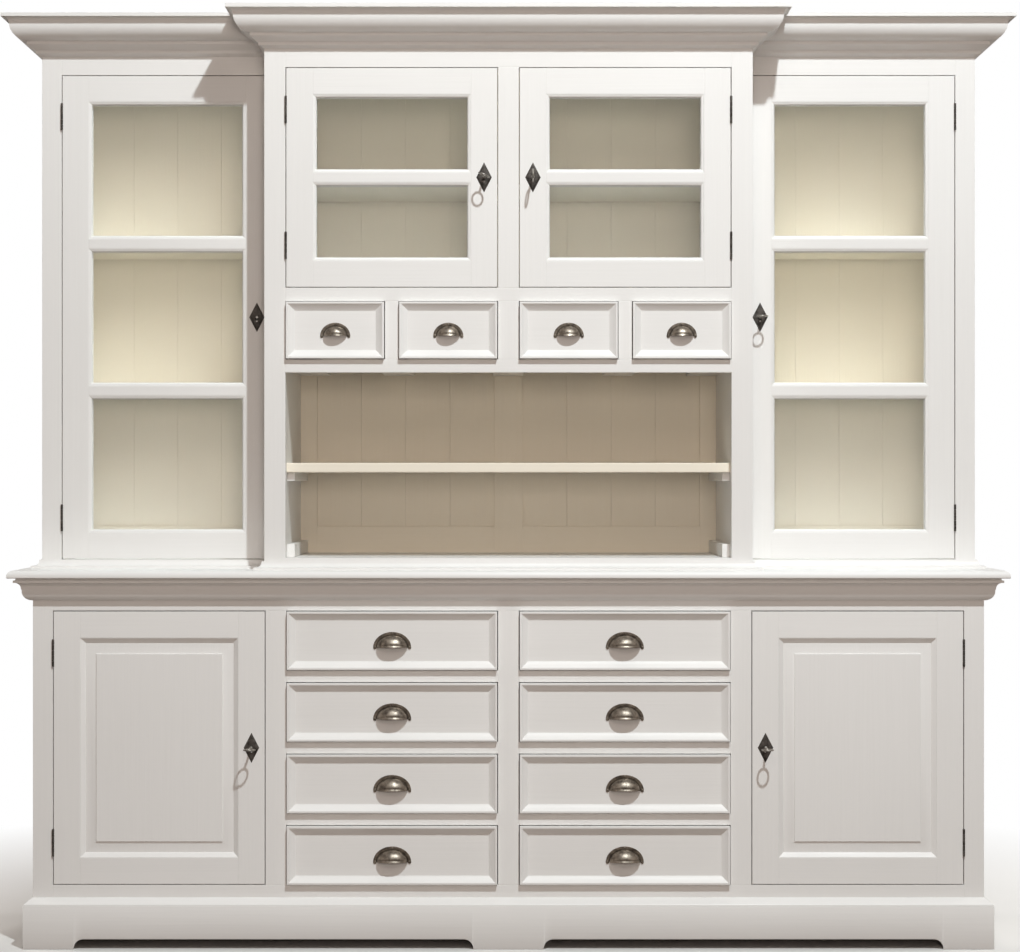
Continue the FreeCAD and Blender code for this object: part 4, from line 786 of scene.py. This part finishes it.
def hingeLeaf(door, sign, middle, edgeX, leafX, rows):
    # Knuckles are short barrels with eased ends, turned round the pin's line.
    step, soft = hinge["length"] / hinge["knuckles"], hinge["soft"]
    foot, face = middle - hinge["length"] / 2, door["face"]
    axisX, axisY = sign * (door["hinge"] + hinge["doorGap"] / 2), face - hinge["axisAhead"]
    plate = spanOn(sign, edgeX, leafX)
    parts = [boards([(*plate, face, face + hinge["leafWidth"], foot, foot + hinge["length"])], soft)]
    r, ease, tall = hinge["radius"], hinge["ease"], step - 2 * hinge["play"]
    barrel = [(0.8 * r, 0), (r, ease), (r, tall - ease), (0.8 * r, tall)]
    for row in rows:
        low = foot + step * row + hinge["play"]
        parts.append(turned(barrel, (axisX, axisY, low), 2, 20))
        parts.append(boards([(*plate, axisY, face + hinge["bridge"], low, low + tall)], soft))
    return parts


def escutcheon(x, y, z):
    # Loops at equal angles: the diamond's foot and bevel, as (share of its size, rise), then the keyhole
    # in its top and the hole's foot.
    t = np.linspace(0, 2 * math.pi, 128, endpoint=False)
    c, s = np.cos(t), np.sin(t)
    diamond = 1 / (np.abs(c) / (lock["wide"] / 2) + np.abs(s) / (lock["tall"] / 2))
    slot = np.minimum(lock["slot"] / 2 / np.maximum(np.abs(c), 1e-6),
                      lock["drop"] / np.maximum(np.abs(s), 1e-6))
    hole = np.where(s < 0, np.maximum(lock["hole"], slot), lock["hole"])
    thick, lip = lock["thick"], lock["lip"]
    share, rise = np.array(lock["bevel"]).T
    radii = np.concatenate([diamond * share[:, None], [hole + lip, hole, hole]])
    ahead = np.concatenate([rise, [thick, thick - lip, 0]])[:, None]
    return loft(gridPoints(x + radii * c, y - ahead, z + radii * s), wrap=True)


def tongueFront(door):
    return door["face"] + doorTrim["thick"] + door["stop"] + key["tongueGap"]


def lockTongue(door, x, z):
    start, half = tongueFront(door), key["tongueWide"] / 2
    reach = abs(door["lockInner"] - door["lock"]) / 2 + door["reach"]
    return boards([(x - half, x + half, start, start + key["tongueThick"], z - half, z + reach)],
                  key["tongueSoft"])


def makeKey(title, door, body, node, bowTurn, x, z):
    # Shank and collar are turned about the keyhole's line; the bow is a wire carried round an oval.
    tip, near = door["face"] - key["stem"], door["face"] - key["collarPlace"]
    r, c, wire, ease = key["shank"], key["collar"], key["wire"], key["collarEase"]
    far = near - key["collarLong"]
    shaft = [(0.6 * r, tip - 1), (r, tip), (r, far - ease), (c, far), (c, near), (r, near + ease),
             (r, tongueFront(door))]
    t = np.linspace(0, 2 * math.pi, 48, endpoint=False)[:, None]
    u = np.linspace(0, 2 * math.pi, 14, endpoint=False)
    a, b = key["bowWide"] / 2 - wire, key["bowLong"] / 2 - wire
    spread = np.concatenate([np.cos(t) / a, np.sin(t) / b], axis=1)
    spread = spread / np.linalg.norm(spread, axis=1, keepdims=True)
    out, thick = wire * np.cos(u), wire * 0.8 * np.sin(u)
    wide = a * np.cos(t) + spread[:, :1] * out
    ahead = tip - key["bowLong"] / 2 + b * np.sin(t) + spread[:, 1:] * out
    cosTurn, sinTurn = math.cos(math.radians(bowTurn)), math.sin(math.radians(bowTurn))
    loops = gridPoints(x + wide * cosTurn + thick * sinTurn, ahead, z - wide * sinTurn + thick * cosTurn)
    parts = [turned(shaft, (x, 0, z), 1, 20), loft(loops, wrap=True), lockTongue(door, x, z)]
    makePiece(title, parts, "key_steel", body, node)


for kind, door in (("base", baseDoor), ("tall", tallDoor), ("centre", centreDoor)):
    for side, sign in sides.items():
        body = f"{side}_{kind}_door"
        title = body.replace("_", "-")
        (panelledDoor if kind == "base" else glazedDoor)(title, door, sign, body)
        x, z = sign * (door["lock"] + door["lockInner"]) / 2, (door["low"] + door["high"]) / 2
        face, length = door["face"], tongueFront(door) - door["face"] - lock["play"]
        outer, bore = lock["barrel"], lock["bore"]
        barrel = [(outer, 0), (outer, length), (bore, length), (bore, 0)]
        iron = [escutcheon(x, face, z), turned(barrel, (x, face, z), 1, wrap=True)]
        doorEdge, frameEdge = door["hinge"], door["hinge"] + hinge["doorGap"]
        for middle in (door["low"] + hinge["inset"], door["high"] - hinge["inset"]):
            iron += hingeLeaf(door, sign, middle, doorEdge, doorEdge + hinge["leaf"], hinge["doorKnuckles"])
            fixedLeaves += hingeLeaf(door, sign, middle, frameEdge - hinge["leaf"], frameEdge,
                                     hinge["frameKnuckles"])
        turn = bowTurns.get(f"{side}_{kind}")
        if turn is None:
            iron.append(lockTongue(door, x, z))
        else:
            makeKey(f"{side}-{kind}-key", door, f"{side}_{kind}_key", f"{body}_key", turn, x, z)
        makePiece(title + "-ironwork", iron, "black_iron", body, f"{body}_ironwork")
makePiece("hingeFrameLeaves", fixedLeaves, "black_iron", "cabinet", "hinge_frame_leaves")
print("doors made")

# Floor, light and camera.

def straightToCamera(tree):
    # 1 for what the camera sees, directly or through clear panes, and 0 for light on its way round the room.
    path = addNode(tree, "LightPath")
    first = maths(tree, "LESS_THAN", path.outputs["Diffuse Depth"], 0.5)
    through = maths(tree, "MULTIPLY", path.outputs["Is Transmission Ray"], first)
    return maths(tree, "MAXIMUM", path.outputs["Is Camera Ray"], through)


floorSettings = {"half": 40.0, "colour": (0.84, 0.83, 0.81, 1), "patches": (0.8, 0.79, 0.77, 1),
                 "roughness": 0.75, "near": 1.2, "far": 2.4, "bounce": (0.21, 0.175, 0.155, 1)}
floorMesh = bpy.data.meshes.new("floor")
reach = floorSettings["half"]
floorCorners = [(-reach, -reach, 0), (reach, -reach, 0), (reach, reach, 0), (-reach, reach, 0)]
floorMesh.from_pydata(floorCorners, [], [(0, 1, 2, 3)])
floorMaterial, floorTree, floorShader = newMaterial("paleFloor")
floorPlace = addNode(floorTree, "TexCoord").outputs["Object"]
floorTone = ramp(floorTree, noiseAt(floorTree, floorPlace, (2, 2, 2), 4), 0.2, 0.8)
floorColour = blendColour(floorTree, floorTone, floorSettings["colour"], floorSettings["patches"])
fill(floorTree, floorShader, {"Base Color": floorColour, "Roughness": floorSettings["roughness"]})
# Far from the cabinet the floor that the camera sees fades into the white of the studio.
floorReach = addNode(floorTree, "VectorMath", {0: floorPlace}, operation="LENGTH").outputs["Value"]
floorGlow = addNode(floorTree, "Emission", {"Strength": 1.0})
floorFade = ramp(floorTree, floorReach, floorSettings["near"], floorSettings["far"])
floorMix = addNode(floorTree, "MixShader", {0: floorFade, 1: floorShader.outputs[0], 2: floorGlow.outputs[0]})
# What the floor throws back at the cabinet is less than its pale look, and warm.
floorBounce = addNode(floorTree, "BsdfDiffuse", {"Color": floorSettings["bounce"]})
floorSeen = addNode(floorTree, "MixShader", {0: straightToCamera(floorTree), 1: floorBounce.outputs[0],
                                             2: floorMix.outputs[0]})
fill(floorTree, floorTree.nodes["Material Output"], {"Surface": floorSeen.outputs[0]})
floorMesh.materials.append(floorMaterial)
addObject("floor", floorMesh)

coolWhite, warmFill, softWarm = (0.9, 0.97, 1), (1, 0.86, 0.77), (1, 0.96, 0.92)
# Each light: its place, what it faces, its size, power and colour, and whether metal and panes mirror it.
lights = {
    "keyLight": ((1.0, -3.6, 5.2), (0.1, 0, 1.2), 0.15, 222, coolWhite, True),
    "frontLight": ((-0.3, -5.2, 3.3), (0, 0, 1.2), 1.4, 32, warmFill, False),
    "lowLight": ((0.3, -6.4, 1.5), (0, 0, 1.3), 1.2, 74, warmFill, False),
    "topLight": ((0.4, -2.2, 3.9), (0.3, -0.1, 1.2), 1.0, 6, (1, 0.95, 0.9), True),
    "leftLight": ((-5.5, 0.9, 2.6), (0, 0.1, 1.1), 1.6, 95, softWarm, False),
    "rightLight": ((5.5, 0.9, 2.6), (0, 0.1, 1.1), 1.6, 95, softWarm, False),
    "backLight": ((0.8, 5.4, 3.0), (0, 0.2, 1.1), 1.6, 150, (1, 0.97, 0.94), False),
}
for name, (place, aim, size, power, colour, inMirrors) in lights.items():
    lamp = bpy.data.lights.new(name, "AREA")
    lamp.size = size
    lamp.energy = power
    lamp.color = colour
    holder = addObject(name, lamp)
    holder.location = place
    holder.rotation_euler = (Vector(aim) - Vector(place)).to_track_quat("-Z", "Y").to_euler()
    holder.visible_glossy = inMirrors
    holder.visible_transmission = inMirrors

room = {"colour": (1, 0.88, 0.8, 1), "strength": 0.08, "mirrored": 0.5, "backdrop": (1, 1, 1, 1)}
world = bpy.data.worlds.new("studio")
bpy.context.scene.world = world
world.use_nodes = True
worldTree = world.node_tree
sky = worldTree.nodes["Background"]
backdrop = addNode(worldTree, "Background", {"Color": room["backdrop"], "Strength": 1.0})
seen = addNode(worldTree, "LightPath")
# Metal mirrors a brighter room than the one that lights the paint; the clear panes don't.
rough = maths(worldTree, "SUBTRACT", seen.outputs["Is Glossy Ray"], seen.outputs["Is Singular Ray"])
skyLevel = addNode(worldTree, "MapRange", {"Value": rough, "To Min": room["strength"],
                                            "To Max": room["mirrored"]})
fill(worldTree, sky, {"Color": room["colour"], "Strength": skyLevel.outputs[0]})
worldMix = addNode(worldTree, "MixShader", {0: straightToCamera(worldTree), 1: sky.outputs[0],
                                            2: backdrop.outputs[0]})
fill(worldTree, worldTree.nodes["World Output"], {"Surface": worldMix.outputs[0]})

bpy.context.scene.view_settings.view_transform = "Standard"

camera = {"place": (0, -5.989, 1.082), "lens": 88.5, "sensor": 36, "shiftX": 0.0015, "shiftY": 0.004}
lens = bpy.data.cameras.new("camera")
lens.sensor_width = camera["sensor"]
lens.sensor_fit = "HORIZONTAL"
lens.lens = camera["lens"]
lens.shift_x = camera["shiftX"]
lens.shift_y = camera["shiftY"]
viewer = addObject("camera", lens)
viewer.location = camera["place"]
viewer.rotation_euler = (math.pi / 2, 0, 0)
bpy.context.scene.camera = viewer
